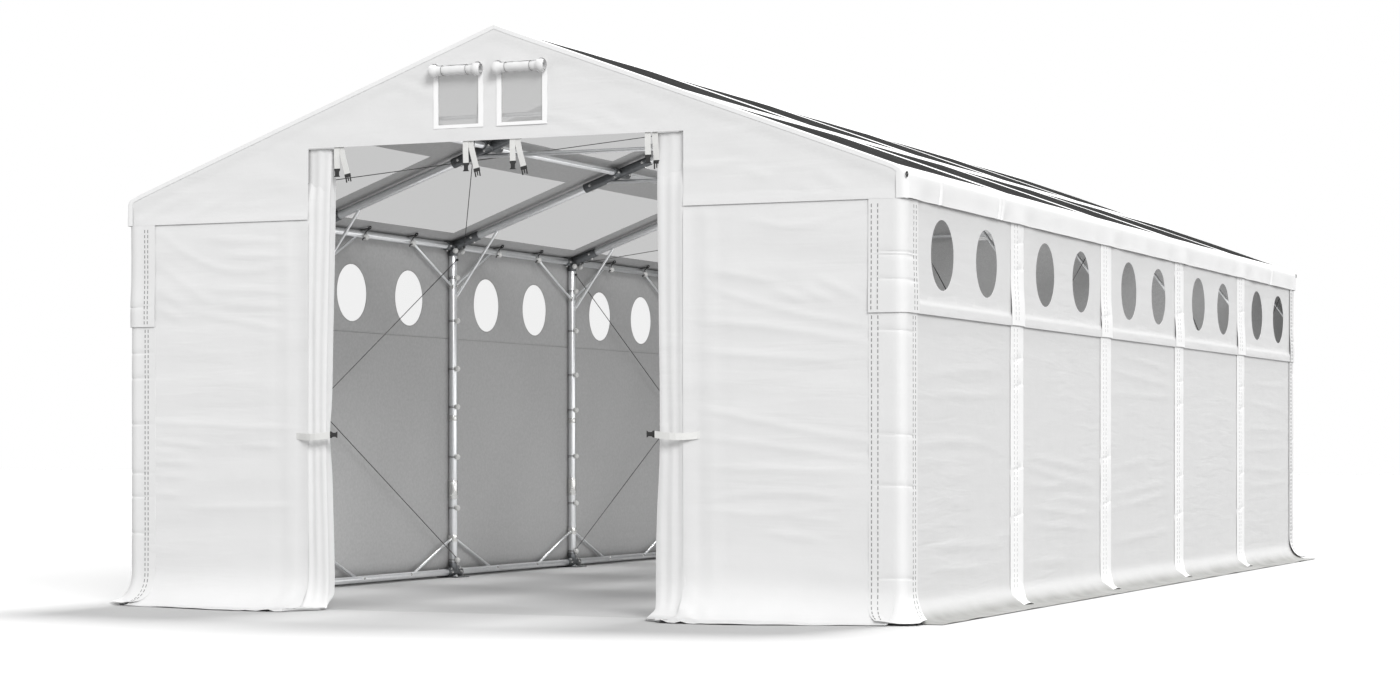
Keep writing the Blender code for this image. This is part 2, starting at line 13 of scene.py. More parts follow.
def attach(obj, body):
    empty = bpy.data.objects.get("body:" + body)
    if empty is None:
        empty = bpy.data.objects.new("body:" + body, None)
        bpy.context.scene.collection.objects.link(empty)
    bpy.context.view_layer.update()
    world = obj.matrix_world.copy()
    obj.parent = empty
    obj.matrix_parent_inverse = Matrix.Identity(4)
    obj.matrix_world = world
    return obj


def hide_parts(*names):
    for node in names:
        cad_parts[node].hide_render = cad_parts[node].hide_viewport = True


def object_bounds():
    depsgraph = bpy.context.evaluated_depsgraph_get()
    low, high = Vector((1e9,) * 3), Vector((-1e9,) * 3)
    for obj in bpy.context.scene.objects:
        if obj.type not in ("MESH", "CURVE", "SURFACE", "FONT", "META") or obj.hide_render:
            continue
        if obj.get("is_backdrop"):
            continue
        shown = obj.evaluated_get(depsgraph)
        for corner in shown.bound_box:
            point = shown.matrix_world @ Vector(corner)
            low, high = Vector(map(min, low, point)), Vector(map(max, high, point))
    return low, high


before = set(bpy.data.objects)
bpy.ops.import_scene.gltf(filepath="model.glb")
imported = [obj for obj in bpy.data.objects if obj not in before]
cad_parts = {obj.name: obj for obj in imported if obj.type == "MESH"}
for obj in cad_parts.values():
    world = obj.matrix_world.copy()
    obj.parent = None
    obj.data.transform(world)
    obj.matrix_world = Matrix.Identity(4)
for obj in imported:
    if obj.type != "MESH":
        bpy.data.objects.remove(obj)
CAD_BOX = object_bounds()

# The photograph: its size, the camera's place and turn, and what its lens gives
PHOTO_WIDTH = 1400
PHOTO_HEIGHT = 700
CAMERA_PLACE = (7.6855, -19.654, 0.9663)
CAMERA_TURN = 0.4121
FOCAL_PX = 2849.2
HORIZON_PX = 447.04
SENSOR_MM = 36.0

# How strongly the sky lights the tent, and how bright the backdrop is
SKY_STRENGTH = 0.72
BACKDROP_STRENGTH = 1.0

# The frame's driving dimensions, as the solids have them
BAYS = 5
BAY = 2.0
POST_X = 2.47
RIDGE_Z = 3.38
EAVE_X = 2.532
EAVE_Z = 2.475
GAP = 0.0003
POST_R = 0.030
RAFTER_R = 0.028
SLEEVE_R = 0.034
SIDE_SLEEVE_R = 0.033
EAVE_RAIL_R = 0.026
PURLIN_R = 0.022
GROUND_RAIL_R = 0.025
BRACE_R = 0.011
COLLAR_R = 0.014
GROUND_RAIL_Z = 0.040
FOOT_PLATE_HALF = 0.09
FOOT_PLATE_T = 0.008
FOOT_SLEEVE = 0.10
CLAMP_Z = 0.29
CLAMP_HALF = 0.025
SPLICE_LOW = 0.58
SPLICE_HIGH = 0.72
KNEE_REACH = 0.58
UPPER_BRACE_Z = 2.16
RAFTER_BRACE_Z = 2.07
RAFTER_BRACE_X = 2.10
POST_ARM = 0.07
EAVE_SLEEVE = 0.23
EAVE_SIDE_SLEEVE = 0.12
MID_SLEEVE_LOW_X = 1.38
MID_SLEEVE_HIGH_X = 0.86
MID_PURLIN_X = 1.10
RIDGE_SLEEVE = 0.25
COLLAR_Z = 2.885
RAIL_OVERRUN = 0.03
PLATE_BOLT = 0.068
BOLT_R = 0.0072
BOLT_HIGH = 0.0075
WASHER_R = 0.0095
WASHER_T = 0.0015
STEEL_EDGE = 0.0012
WELD_REACH = 0.0004
SHARP_DEGREES = 35

# The cover's dimensions, as the solids have them
SHEET_ROOM = 0.005
VALANCE_Z = 2.32
WALL_TOP = 2.46
END_WALL_TOP = 2.42
SIDE_BEND = (0.14, 0.12)
END_BEND = (0.22, 0.15)
COVER_BEND = (0.20, 0.13)
STRIP_BEND = (0.14, 0.085)
SIDE_SKIRT = 0.205
COVER_REACH = 0.135
STRIP_REACH = 0.088
END_SKIRT_CORNER = 0.16
END_SKIRT_LEFT = 0.32
END_SKIRT_RIGHT = 0.40
END_SKIRT_RISE = 0.9
TRIM_DROP = 0.024
STRIP_HALF = 0.13
COVER_SIDE_Y = 4.84
COVER_RADIUS = 0.0447
WALL_END_Y = 4.985
END_WALL_X = 2.455
DOOR_CENTRE = -0.027
DOOR_HALF = 1.222
DOOR_TOP = 2.743
VENT_OFFSET = 0.207
VENT_HALF = 0.132
VENT_LOW = 2.841
VENT_HIGH = 3.137
ROLL_R = 0.038
ROLL_HALF = 0.165
ROLL_Z = 3.153
WINDOW_R = 0.20
WINDOW_Z = 2.045
WINDOW_OFFSET = 0.404
SKYLIGHT_ROWS = ((0.07, 0.43), (0.58, 0.93))
SKYLIGHT_HALF = 0.80

# How the cloth is cut and hung
CLOTH_T = 0.0015
CLOTH_STEP = 0.045
SEAM_Z = 1.70
SEAM_INSIDE_Z = 1.768
SEAM_FLARE = 0.010
SEAM_STEP = 0.040
SEAM_STEP_TOP = SEAM_Z + 0.085
EAVE_ROUND = 0.045
WINDOW_SQUARE = 0.27
WINDOW_RINGS = 4
WINDOW_LAP = 0.008
SKYLIGHT_LAP = 0.045
STITCH_PITCH = 0.031
STITCH_LENGTH = 0.0185
STITCH_WIDTH = 0.0048
STITCH_T = 0.0016
CORNER_ROUND = {"right": 0.045, "left": 0.015}
RIDGE_RISE = 0.026
PANE_CROWN = 0.008
PANE_RINGS = 6
PANE_SIDES = 32
STRIP_CUT = 0.10
STRIP_STITCHES = (-0.070, -0.015)
BALL_HEIGHTS = (2.222, 1.902, 1.546, 1.264, 0.892, 0.514, 0.127)
BALL_R = 0.021
BAND_R = 0.0018
CORD_R = 0.0042
STRAP_T = 0.0016
STRAP_WIDE = 0.036
TIE_STRAP_WIDE = 0.040
CURTAIN_WIDE = 1.22
CURTAIN_LAYERS = 7
CURTAIN_TIE_Z = 1.04
# A curtain's reach on the ground and the share of it that its inner edge has
CURTAIN_FEET = {"right": (0.34, 0.78), "left": (0.28, 0.30)}
# How far each sheet stands off what lies under it, and how deep its own forms are
UPPER_WALL_OFF = 0.0052
LOWER_WALL_OFF = 0.0018
UPPER_STRIP_OFF = 0.0080
LOWER_STRIP_OFF = 0.0062
STRIP_CROWN = 0.0060
UPPER_COVER_OFF = 0.0135
LOWER_COVER_OFF = 0.0095
END_WALL_OFF = 0.0035
END_FOLD_DEPTH = 0.0042
GABLE_HEM = 0.0055
GABLE_DRAW = 0.030
GABLE_DRAW_X = 2.28
# Painted shade on a side wall's hem starts this high and is full this far beyond the ground's height
HEM_SHADE_HIGH = 0.122
HEM_SHADE_FULL = 0.022
# Columns of the roof sheet on a round corner, as shares of it, and beside a sharp crease
CORNER_STEPS = (1, 0.75, 0.55, 0.37, 0.22, 0.11, 0.04, 0)
CREASE_STEPS = (-0.024, -0.014, -0.007, 0.0, 0.007, 0.014, 0.022, 0.032, 0.044, 0.058)

# Long soft folds that the photograph shows in the cloth, on the front panels and the gable
# as X and height of both ends and how far the middle sags, on a side wall with Y for X;
# one without the last number is straight
FRONT_FOLDS = {
    "right": (
        (1.63, 2.215, 2.16, 2.237, 0.05), (1.42, 1.932, 1.74, 1.874),
        (1.41, 1.832, 2.26, 1.627, 0.023), (1.41, 1.653, 2.26, 1.529, -0.012),
        (1.42, 1.480, 2.10, 1.427), (1.39, 1.156, 2.26, 0.994, 0.007),
        (1.41, 1.000, 2.26, 0.890, -0.003), (1.41, 0.844, 2.18, 0.819),
        (1.39, 0.665, 2.13, 0.671, -0.035), (1.41, 0.604, 2.09, 0.626, 0.03),
        (1.87, 0.564, 2.09, 0.555), (1.74, 0.479, 2.02, 0.444),
        (2.02, 1.884, 2.26, 1.764), (1.74, 1.830, 1.92, 1.765),
        (1.93, 1.826, 2.07, 1.762)),
    "left": (
        (-1.90, 2.212, -1.45, 2.187), (-1.78, 2.112, -1.46, 2.098),
        (-2.30, 2.267, -1.46, 2.050, 0.12), (-2.29, 2.059, -1.96, 1.839),
        (-2.29, 1.912, -2.13, 1.812), (-2.30, 1.803, -2.15, 1.733),
        (-1.89, 1.904, -1.46, 1.888), (-1.83, 1.818, -1.48, 1.799),
        (-1.95, 1.754, -1.46, 1.667), (-2.32, 1.107, -1.39, 1.068),
        (-2.32, 0.991, -2.02, 0.967), (-1.68, 0.967, -1.46, 0.961),
        (-2.32, 0.924, -2.15, 0.918), (-2.32, 0.869, -2.08, 0.863),
        (-2.32, 0.777, -2.13, 0.778), (-2.32, 0.667, -2.17, 0.668),
        (-2.01, 0.585, -1.41, 0.602)),
}
GABLE_FOLDS = (
    (-0.62, 3.160, -0.44, 3.093), (-0.74, 3.100, -0.42, 3.010),
    (-0.34, 3.260, -0.25, 3.215), (-0.41, 2.753, -0.33, 2.819),
    (-0.28, 2.759, -0.21, 2.825), (-0.08, 3.046, -0.01, 2.990),
    (0.36, 2.852, 0.68, 2.769), (0.66, 2.856, 0.84, 2.767),
    (0.96, 2.790, 1.06, 2.853), (1.19, 2.532, 1.51, 2.548, 0.01),
    (2.01, 2.479, 2.19, 2.362), (1.90, 2.405, 2.03, 2.335),
    (1.60, 2.494, 1.71, 2.446), (-2.45, 2.332, -2.14, 2.469),
    (-2.15, 2.317, -1.83, 2.458))
SIDE_FOLDS = (
    (-4.79, 1.611, -4.28, 1.624), (-4.76, 1.342, -3.29, 1.404, -0.02),
    (-4.63, 1.245, -3.25, 1.267), (-4.79, 0.967, -3.44, 0.949, -0.03),
    (-4.79, 0.867, -4.37, 0.876), (-4.78, 0.393, -3.29, 0.379),
    (-4.78, 0.278, -3.73, 0.247), (-2.82, 0.905, -1.20, 0.793),
    (-2.82, 0.844, -1.20, 0.693, 0.015), (-2.82, 0.721, -1.98, 0.710),
    (-2.82, 0.586, -1.27, 0.502), (-2.82, 0.481, -1.27, 0.416),
    (-2.82, 0.240, -1.98, 0.230), (-1.98, 0.627, -1.20, 0.593),
    (-0.83, 1.604, 0.78, 1.514), (-0.83, 1.475, 0.78, 1.397),
    (-0.83, 1.319, 0.78, 1.317), (-0.83, 0.811, 0.02, 0.861),
    (-0.83, 0.627, 0.78, 0.704), (-0.83, 0.539, 0.78, 0.624),
    (-0.83, 0.302, 0.78, 0.353), (3.26, 1.469, 4.75, 1.473),
    (3.26, 1.331, 4.75, 1.258), (3.26, 1.104, 4.75, 1.095),
    (3.26, 0.926, 4.75, 0.949), (3.26, 0.780, 4.75, 0.744),
    (3.26, 0.635, 4.75, 0.649))
FOLD_WIDTH = 0.018
# Each corner cover's front edge and its two front rows of stitches, as distances from the
# middle, and how far it bulges out round the corner
COVER_FRONTS = {"right": (2.302, 2.320, 2.357, 0.0), "left": (2.332, 2.383, 2.405, 0.013)}
# Heights of the short level creases where ties pull the covers and the strips
COVER_CREASES = {
    "right": (2.030, 2.012, 1.881, 1.601, 1.032, 0.752, 0.246),
    "left": (1.818, 1.536, 1.383, 1.101, 0.801, 0.657, 0.434),
}
STRIP_CREASES = (
    (2.205, 2.044, 1.501, 1.340, 0.836, 0.550), (1.849, 0.899, 0.591),
    (2.263, 1.950, 1.445, 1.280, 0.753, 0.477), (2.047, 1.447, 1.279, 0.754, 0.478))
# Sharp upright creases in the valance: Y and how far they bow
VALANCE_CREASES = ((-4.51, 0.020), (-3.44, 0.030), (-3.37, 0.030), (4.06, 0.0))

# Sides of the round bars
TUBE_SIDES = 24
THIN_SIDES = 12
CORD_SIDES = 6

# Values worked out from the dimensions above
END_Y = BAYS * BAY / 2
FRAME_YS = [index * BAY - END_Y for index in range(BAYS + 1)]
BAY_CENTRES = [(index + 0.5) * BAY - END_Y for index in range(BAYS)]
SLOPE = (RIDGE_Z - EAVE_Z) / EAVE_X
PITCH = math.atan(SLOPE)
AXIS_DROP = (SHEET_ROOM + GAP + SLEEVE_R) / math.cos(PITCH)
AXIS_RIDGE_Z = RIDGE_Z - AXIS_DROP
AXIS_EAVE_Z = AXIS_RIDGE_Z - SLOPE * POST_X
POST_TOP = AXIS_EAVE_Z - POST_ARM
KNEE_R = BRACE_R - 0.001
BRACE_START = POST_R * 0.7
SIDE_INNER = POST_X + SLEEVE_R + GAP
END_INNER = END_Y + SLEEVE_R + GAP
GABLE_Y = END_INNER + 2 * SHEET_ROOM + GAP
ROOF_END_Y = GABLE_Y + SHEET_ROOM + GAP
ROOF_LENGTH = EAVE_X / math.cos(PITCH)
SIDES = {"left": -1, "right": 1}
ENDS = {"front": -1, "back": 1}
ALONG = Vector((0, 1, 0))
HALF_TURN = Matrix.Rotation(math.pi, 4, "Z")


# Choosing, joining and finishing objects

def choose(*pieces):
    """Selects these objects alone; the first is the active one."""
    bpy.ops.object.select_all(action="DESELECT")
    for piece in pieces:
        piece.select_set(True)
    bpy.context.view_layer.objects.active = pieces[0]


def settle():
    """Puts the active object's place, turn and scale into its mesh."""
    bpy.ops.object.transform_apply(location=True, rotation=True, scale=True)
    return bpy.context.object


def join(name, pieces):
    choose(*pieces)
    if len(pieces) > 1:
        bpy.ops.object.join()
    joined = bpy.context.object
    joined.name = name
    joined.data.name = name
    return joined


def paint(piece, *looks):
    piece.data.materials.clear()
    for look in looks:
        piece.data.materials.append(look)
    return piece


def paint_all(pieces, look):
    return [paint(piece, look) for piece in pieces]


def apply_modifier(piece, kind, **settings):
    choose(piece)
    step = piece.modifiers.new(kind.lower(), kind)
    for name, value in settings.items():
        setattr(step, name, value)
    bpy.ops.object.modifier_apply(modifier=step.name)


def soften(piece, width, segments=2):
    """Rounds a hard piece's sharp edges and shades it smooth between them."""
    apply_modifier(piece, "BEVEL", width=width, segments=segments, limit_method="ANGLE",
                   angle_limit=math.radians(SHARP_DEGREES), use_clamp_overlap=True)
    choose(piece)
    bpy.ops.object.shade_smooth_by_angle(angle=math.radians(38))
    return piece


def add_object(name, data):
    """Puts a new object with this data into the scene."""
    made = bpy.data.objects.new(name, data)
    bpy.context.scene.collection.objects.link(made)
    return made


def from_shape(shape, name):
    """An object made of a finished bmesh."""
    mesh = bpy.data.meshes.new(name)
    shape.to_mesh(mesh)
    shape.free()
    return add_object(name, mesh)


def placed(source, matrix, name="copy"):
    """A copy of an object with its own mesh, put in place by a matrix."""
    copy = add_object(name, source.data.copy())
    copy.data.transform(matrix)
    copy.data.name = name
    return copy


def discard(*pieces):
    for piece in pieces:
        bpy.data.objects.remove(piece, do_unlink=True)


def facing(spot, way, across=ALONG):
    """A matrix that carries an upright shape to a spot and points it this way."""
    way = Vector(way).normalized()
    across = Vector(across)
    if abs(way.dot(across)) > 0.95:
        across = Vector((1, 0, 0))
    side = way.cross(across).normalized()
    across = side.cross(way)
    turn = Matrix((across, side, way)).transposed().to_4x4()
    return Matrix.Translation(Vector(spot)) @ turn


# Round bars, bent pipes and small hardware

def rod(start, end, radius, sides=TUBE_SIDES, across=ALONG):
    """A round bar from one point to another."""
    start = Vector(start)
    end = Vector(end)
    place = facing((start + end) / 2, end - start, across)
    bpy.ops.object.select_all(action="DESELECT")
    bpy.ops.mesh.primitive_cylinder_add(vertices=sides, radius=radius,
                                        depth=(end - start).length,
                                        location=place.to_translation(),
                                        rotation=place.to_euler())
    return settle()


def cut_off(piece, spot, way):
    """Cuts away what lies past a plane."""
    choose(piece)
    bpy.ops.object.mode_set(mode="EDIT")
    bpy.ops.mesh.select_all(action="SELECT")
    bpy.ops.mesh.bisect(plane_co=spot, plane_no=way, clear_outer=True)
    bpy.ops.object.mode_set(mode="OBJECT")


def weld(piece):
    choose(piece)
    bpy.ops.object.mode_set(mode="EDIT")
    bpy.ops.mesh.select_all(action="SELECT")
    bpy.ops.mesh.remove_doubles(threshold=WELD_REACH)
    bpy.ops.object.mode_set(mode="OBJECT")
    return piece


def pipe(points, radius, sides=TUBE_SIDES, across=ALONG):
    """A bent bar through points, mitred at each bend."""
    spots = [Vector(point) for point in points]
    runs = []
    last = len(spots) - 2
    for index in range(len(spots) - 1):
        start, end = spots[index], spots[index + 1]
        way = (end - start).normalized()
        start_cut = index > 0
        end_cut = index < last
        run = rod(start - way * 2 * radius * start_cut, end + way * 2 * radius * end_cut,
                  radius, sides, across)
        if start_cut:
            before = (start - spots[index - 1]).normalized()
            cut_off(run, start, -(before + way))
        if end_cut:
            after = (spots[index + 2] - end).normalized()
            cut_off(run, end, way + after)
        runs.append(run)
    return weld(join("pipe", runs))


def slab(low, high):
    """A block between two corners."""
    low = Vector(low)
    high = Vector(high)
    bpy.ops.object.select_all(action="DESELECT")
    bpy.ops.mesh.primitive_cube_add(size=1, location=(low + high) / 2, scale=high - low)
    return settle()


def ring(radius, thin, turns=20, sides=CORD_SIDES):
    """A loop of round cord or wire, lying flat at the origin."""
    bpy.ops.object.select_all(action="DESELECT")
    bpy.ops.mesh.primitive_torus_add(major_radius=radius, minor_radius=thin,
                                     major_segments=turns, minor_segments=sides)
    return settle()


def bolt_shape():
    """A hexagon head with a chamfered end, on a washer, standing up from the origin."""
    overlap = 0.001
    washer = rod((0, 0, -overlap), (0, 0, WASHER_T), WASHER_R, THIN_SIDES)
    head = rod((0, 0, overlap), (0, 0, BOLT_HIGH), BOLT_R, 6)
    choose(head)
    bpy.ops.object.mode_set(mode="EDIT")
    bpy.ops.mesh.select_mode(type="FACE")
    bpy.ops.mesh.select_all(action="DESELECT")
    shape = bmesh.from_edit_mesh(head.data)
    for face in shape.faces:
        face.select = face.normal.z > 0.9
    bmesh.update_edit_mesh(head.data)
    bpy.ops.mesh.inset(thickness=0.0015, depth=0.0008)
    bpy.ops.object.mode_set(mode="OBJECT")
    return soften(join("bolt", [head, washer]), 0.0005, 1)


def bolt_places(spot, reach, ways):
    """Matrices for bolt heads on a bar round a spot, facing these ways."""
    return [facing(Vector(spot) + Vector(way).normalized() * reach, way) for way in ways]


# Materials

def linear(code):
    """A colour given as sRGB hex, in linear light."""
    values = [int(code[index:index + 2], 16) / 255 for index in (1, 3, 5)]
    turned = [v / 12.92 if v <= 0.04045 else ((v + 0.055) / 1.055) ** 2.4 for v in values]
    return (*turned, 1.0)


def add_node(tree, kind, options=None, inputs=None, links=None):
    """Adds a node with its options, its inputs' values and its links."""
    node = tree.nodes.new(kind)
    for name, value in (options or {}).items():
        setattr(node, name, value)
    for name, value in (inputs or {}).items():
        node.inputs[name].default_value = value
    for name, (source, socket) in (links or {}).items():
        tree.links.new(source.outputs[socket], node.inputs[name])
    return node


def new_material(name, colour, roughness, metallic=0.0, specular=None, alpha=None):
    """A material with its Principled shader set, its node tree and that shader."""
    made = bpy.data.materials.new(name)
    made.use_nodes = True
    tree = made.node_tree
    shader = tree.nodes["Principled BSDF"]
    given = {"Base Color": linear(colour), "Roughness": roughness, "Metallic": metallic,
             "Specular IOR Level": specular, "Alpha": alpha}
    for socket, value in given.items():
        if value is not None:
            shader.inputs[socket].default_value = value
    return made, tree, shader


def tarpaulin(name, colour, shade, roughness=0.5, wrinkled=0.0045, painted_hem_shade=None, mottle=8.0):
    """Polyethylene tarpaulin: a grid of woven tapes under a smooth coating.

    The coating gives a soft satin gloss and the tapes a fine square relief. Long
    level wrinkles are left by packing, and painted shade can darken the hem that lies on the ground.
    """
    made, tree, shader = new_material(name, colour, roughness, specular=0.35)
    spots = add_node(tree, "ShaderNodeTexCoord")
    # Faint patches 120 mm across, or on the inner coat a grain of 20 mm
    patches = add_node(tree, "ShaderNodeTexNoise", inputs={"Scale": mottle, "Detail": 3.0},
                       links={"Vector": (spots, "Object")})
    tone = add_node(tree, "ShaderNodeMix", {"data_type": "RGBA"},
                    {6: linear(shade), 7: linear(colour)}, {0: (patches, "Fac")})
    if painted_hem_shade:
        # Painted shade, mottled, deepens towards the hem, which the flat cut's own measure finds
        shade_start_b, shade_full_b, hem_shade_colour = painted_hem_shade
        cut = add_node(tree, "ShaderNodeSeparateXYZ", links={"Vector": (spots, "UV")})
        hem = add_node(tree, "ShaderNodeMapRange", {"interpolation_type": "SMOOTHSTEP"},
                       {"From Min": shade_start_b, "From Max": shade_full_b}, {"Value": (cut, "Y")})
        shade_mottle = add_node(tree, "ShaderNodeTexNoise", inputs={"Scale": 5.0, "Detail": 2.0},
                          links={"Vector": (spots, "Object")})
        cover = add_node(tree, "ShaderNodeMapRange",
                         inputs={"From Min": 0.3, "From Max": 0.65, "To Min": 0.82},
                         links={"Value": (shade_mottle, "Fac")})
        hem_shade_share = add_node(tree, "ShaderNodeMath", {"operation": "MULTIPLY"},
                        links={0: (hem, "Result"), 1: (cover, "Result")})
        tone = add_node(tree, "ShaderNodeMix", {"data_type": "RGBA"}, {7: linear(hem_shade_colour)},
                        {0: (hem_shade_share, "Value"), 6: (tone, 2)})
    tree.links.new(tone.outputs[2], shader.inputs["Base Color"])
    # Wrinkles about 70 mm high and 0.6 m long, in some areas deep and in others faint
    stretch = add_node(tree, "ShaderNodeMapping", inputs={"Scale": (1.7, 13.0, 1.0)},
                       links={"Vector": (spots, "UV")})
    wrinkles = add_node(tree, "ShaderNodeTexNoise",
                        inputs={"Scale": 1.0, "Detail": 2.5, "Distortion": 0.35},
                        links={"Vector": (stretch, "Vector")})
    areas = add_node(tree, "ShaderNodeTexNoise", inputs={"Scale": 1.5, "Detail": 1.0},
                     links={"Vector": (spots, "Object")})
    share = add_node(tree, "ShaderNodeMapRange",
                     inputs={"From Min": 0.35, "From Max": 0.65, "To Min": 0.25},
                     links={"Value": (areas, "Fac")})
    height = add_node(tree, "ShaderNodeMath", {"operation": "MULTIPLY"},
                      links={0: (wrinkles, "Fac"), 1: (share, "Result")})
    folds = add_node(tree, "ShaderNodeBump", inputs={"Strength": 1.0, "Distance": wrinkled},
                     links={"Height": (height, "Value")})
    creases = add_node(tree, "ShaderNodeTexNoise",
                       inputs={"Scale": 16.0, "Detail": 4.0, "Distortion": 0.8},
                       links={"Vector": (spots, "Object")})
    relief = add_node(tree, "ShaderNodeBump", inputs={"Strength": 0.4, "Distance": 0.0012},
                      links={"Height": (creases, "Fac"), "Normal": (folds, "Normal")})
    # Tapes 5 mm apart, which is as fine as the picture shows, in both directions of the cut
    tape = math.tau / 20 / 0.005
    along = add_node(tree, "ShaderNodeTexWave", {"bands_direction": "X"}, {"Scale": tape},
                     {"Vector": (spots, "UV")})
    across = add_node(tree, "ShaderNodeTexWave", {"bands_direction": "Y"}, {"Scale": tape},
                      {"Vector": (spots, "UV")})
    weave = add_node(tree, "ShaderNodeMath", {"operation": "MULTIPLY"},
                     links={0: (along, "Fac"), 1: (across, "Fac")})
    grain = add_node(tree, "ShaderNodeBump", inputs={"Strength": 0.25, "Distance": 0.0004},
                     links={"Height": (weave, "Value"), "Normal": (relief, "Normal")})
    tree.links.new(grain.outputs["Normal"], shader.inputs["Normal"])
    return made


def clear_film(name, colour, alpha, specular, edge_on=None):
    """Clear PVC film: see-through with a weak gloss, a little cloudy from handling.

    A tinted film is darkest edge-on, where more of it lies in the line of sight.
    """
    roughness = 0.18
    made, tree, shader = new_material(name, colour, roughness, specular=specular, alpha=alpha)
    spots = add_node(tree, "ShaderNodeTexCoord")
    if edge_on:
        slant = add_node(tree, "ShaderNodeLayerWeight", inputs={"Blend": 0.5})
        tint = add_node(tree, "ShaderNodeMapRange",
                        inputs={"From Min": 0.85, "From Max": 0.96, "To Min": alpha,
                                "To Max": edge_on}, links={"Value": (slant, "Facing")})
        tree.links.new(tint.outputs["Result"], shader.inputs["Alpha"])
    waves = add_node(tree, "ShaderNodeTexNoise", inputs={"Scale": 5.0, "Detail": 2.0},
                     links={"Vector": (spots, "Object")})
    cloud = add_node(tree, "ShaderNodeMapRange",
                     inputs={"To Min": roughness * 0.8, "To Max": roughness * 1.4},
                     links={"Value": (waves, "Fac")})
    tree.links.new(cloud.outputs["Result"], shader.inputs["Roughness"])
    relief = add_node(tree, "ShaderNodeBump", inputs={"Strength": 0.3, "Distance": 0.003},
                      links={"Height": (waves, "Fac")})
    tree.links.new(relief.outputs["Normal"], shader.inputs["Normal"])
    return made


def galvanised_steel(name, colour, dark, roughness):
    """Hot-dip galvanised tube: zinc crystals two centimetres wide that catch light unevenly."""
    made, tree, shader = new_material(name, colour, roughness, metallic=1.0)
    spots = add_node(tree, "ShaderNodeTexCoord")
    crystals = add_node(tree, "ShaderNodeTexVoronoi", {"feature": "F1"}, {"Scale": 45.0},
                        {"Vector": (spots, "Object")})
    smear = add_node(tree, "ShaderNodeTexNoise", inputs={"Scale": 9.0, "Detail": 5.0},
                     links={"Vector": (spots, "Object")})
    shares = add_node(tree, "ShaderNodeMath", {"operation": "MULTIPLY"},
                      links={0: (crystals, "Distance"), 1: (smear, "Fac")})
    tone = add_node(tree, "ShaderNodeMix", {"data_type": "RGBA"},
                    {6: linear(colour), 7: linear(dark)}, {0: (shares, "Value")})
    tree.links.new(tone.outputs[2], shader.inputs["Base Color"])
    gloss = add_node(tree, "ShaderNodeMapRange",
                     inputs={"To Min": roughness * 0.8, "To Max": roughness * 1.3},
                     links={"Value": (smear, "Fac")})
    tree.links.new(gloss.outputs["Result"], shader.inputs["Roughness"])
    return made


def moulded_plastic(name, colour, roughness):
    """Injection-moulded plastic: even colour with a fine eroded skin."""
    made, tree, shader = new_material(name, colour, roughness)
    spots = add_node(tree, "ShaderNodeTexCoord")
    skin = add_node(tree, "ShaderNodeTexNoise", inputs={"Scale": 600.0, "Detail": 2.0},
                    links={"Vector": (spots, "Object")})
    relief = add_node(tree, "ShaderNodeBump", inputs={"Strength": 0.15, "Distance": 0.0002},
                      links={"Height": (skin, "Fac")})
    tree.links.new(relief.outputs["Normal"], shader.inputs["Normal"])
    return made


def webbing(name, colour, shade):
    """Polyester webbing: ribs across the strap, 3 mm apart, with a soft dull finish."""
    made, tree, shader = new_material(name, colour, 0.75, specular=0.3)
    spots = add_node(tree, "ShaderNodeTexCoord")
    ribs = add_node(tree, "ShaderNodeTexWave", {"bands_direction": "Z"},
                    {"Scale": math.tau / 20 / 0.003, "Distortion": 0.5},
                    {"Vector": (spots, "Object")})
    tone = add_node(tree, "ShaderNodeMix", {"data_type": "RGBA"},
                    {6: linear(shade), 7: linear(colour)}, {0: (ribs, "Fac")})
    tree.links.new(tone.outputs[2], shader.inputs["Base Color"])
    relief = add_node(tree, "ShaderNodeBump", inputs={"Strength": 0.4, "Distance": 0.0005},
                      links={"Height": (ribs, "Fac")})
    tree.links.new(relief.outputs["Normal"], shader.inputs["Normal"])
    return made


def vent_netting(name, colour, alpha):
    """Coated polyester netting: holes too fine to show singly, so it veils what is behind."""
    made, tree, shader = new_material(name, colour, 0.8, specular=0.2, alpha=alpha)
    spots = add_node(tree, "ShaderNodeTexCoord")
    threads = add_node(tree, "ShaderNodeTexBrick", {"offset": 0.0},
                       {"Scale": 1.0, "Brick Width": 0.004, "Row Height": 0.004,
                        "Mortar Size": 0.0008, "Color1": linear("#B4B4B4"),
                        "Color2": linear("#BABABA"), "Mortar": linear(colour)},
                       {"Vector": (spots, "UV")})
    tree.links.new(threads.outputs["Color"], shader.inputs["Base Color"])
    return made


def stranded_cable(name, colour, dark):
    """Galvanised wire rope: bright wires laid in a slant, darker between them."""
    made, tree, shader = new_material(name, colour, 0.55, metallic=1.0)
    spots = add_node(tree, "ShaderNodeTexCoord")
    lay = add_node(tree, "ShaderNodeTexWave", {"bands_direction": "DIAGONAL"},
                   {"Scale": math.tau / 20 / 0.008}, {"Vector": (spots, "Object")})
    tone = add_node(tree, "ShaderNodeMix", {"data_type": "RGBA"},
                    {6: linear(dark), 7: linear(colour)}, {0: (lay, "Fac")})
    tree.links.new(tone.outputs[2], shader.inputs["Base Color"])
    return made


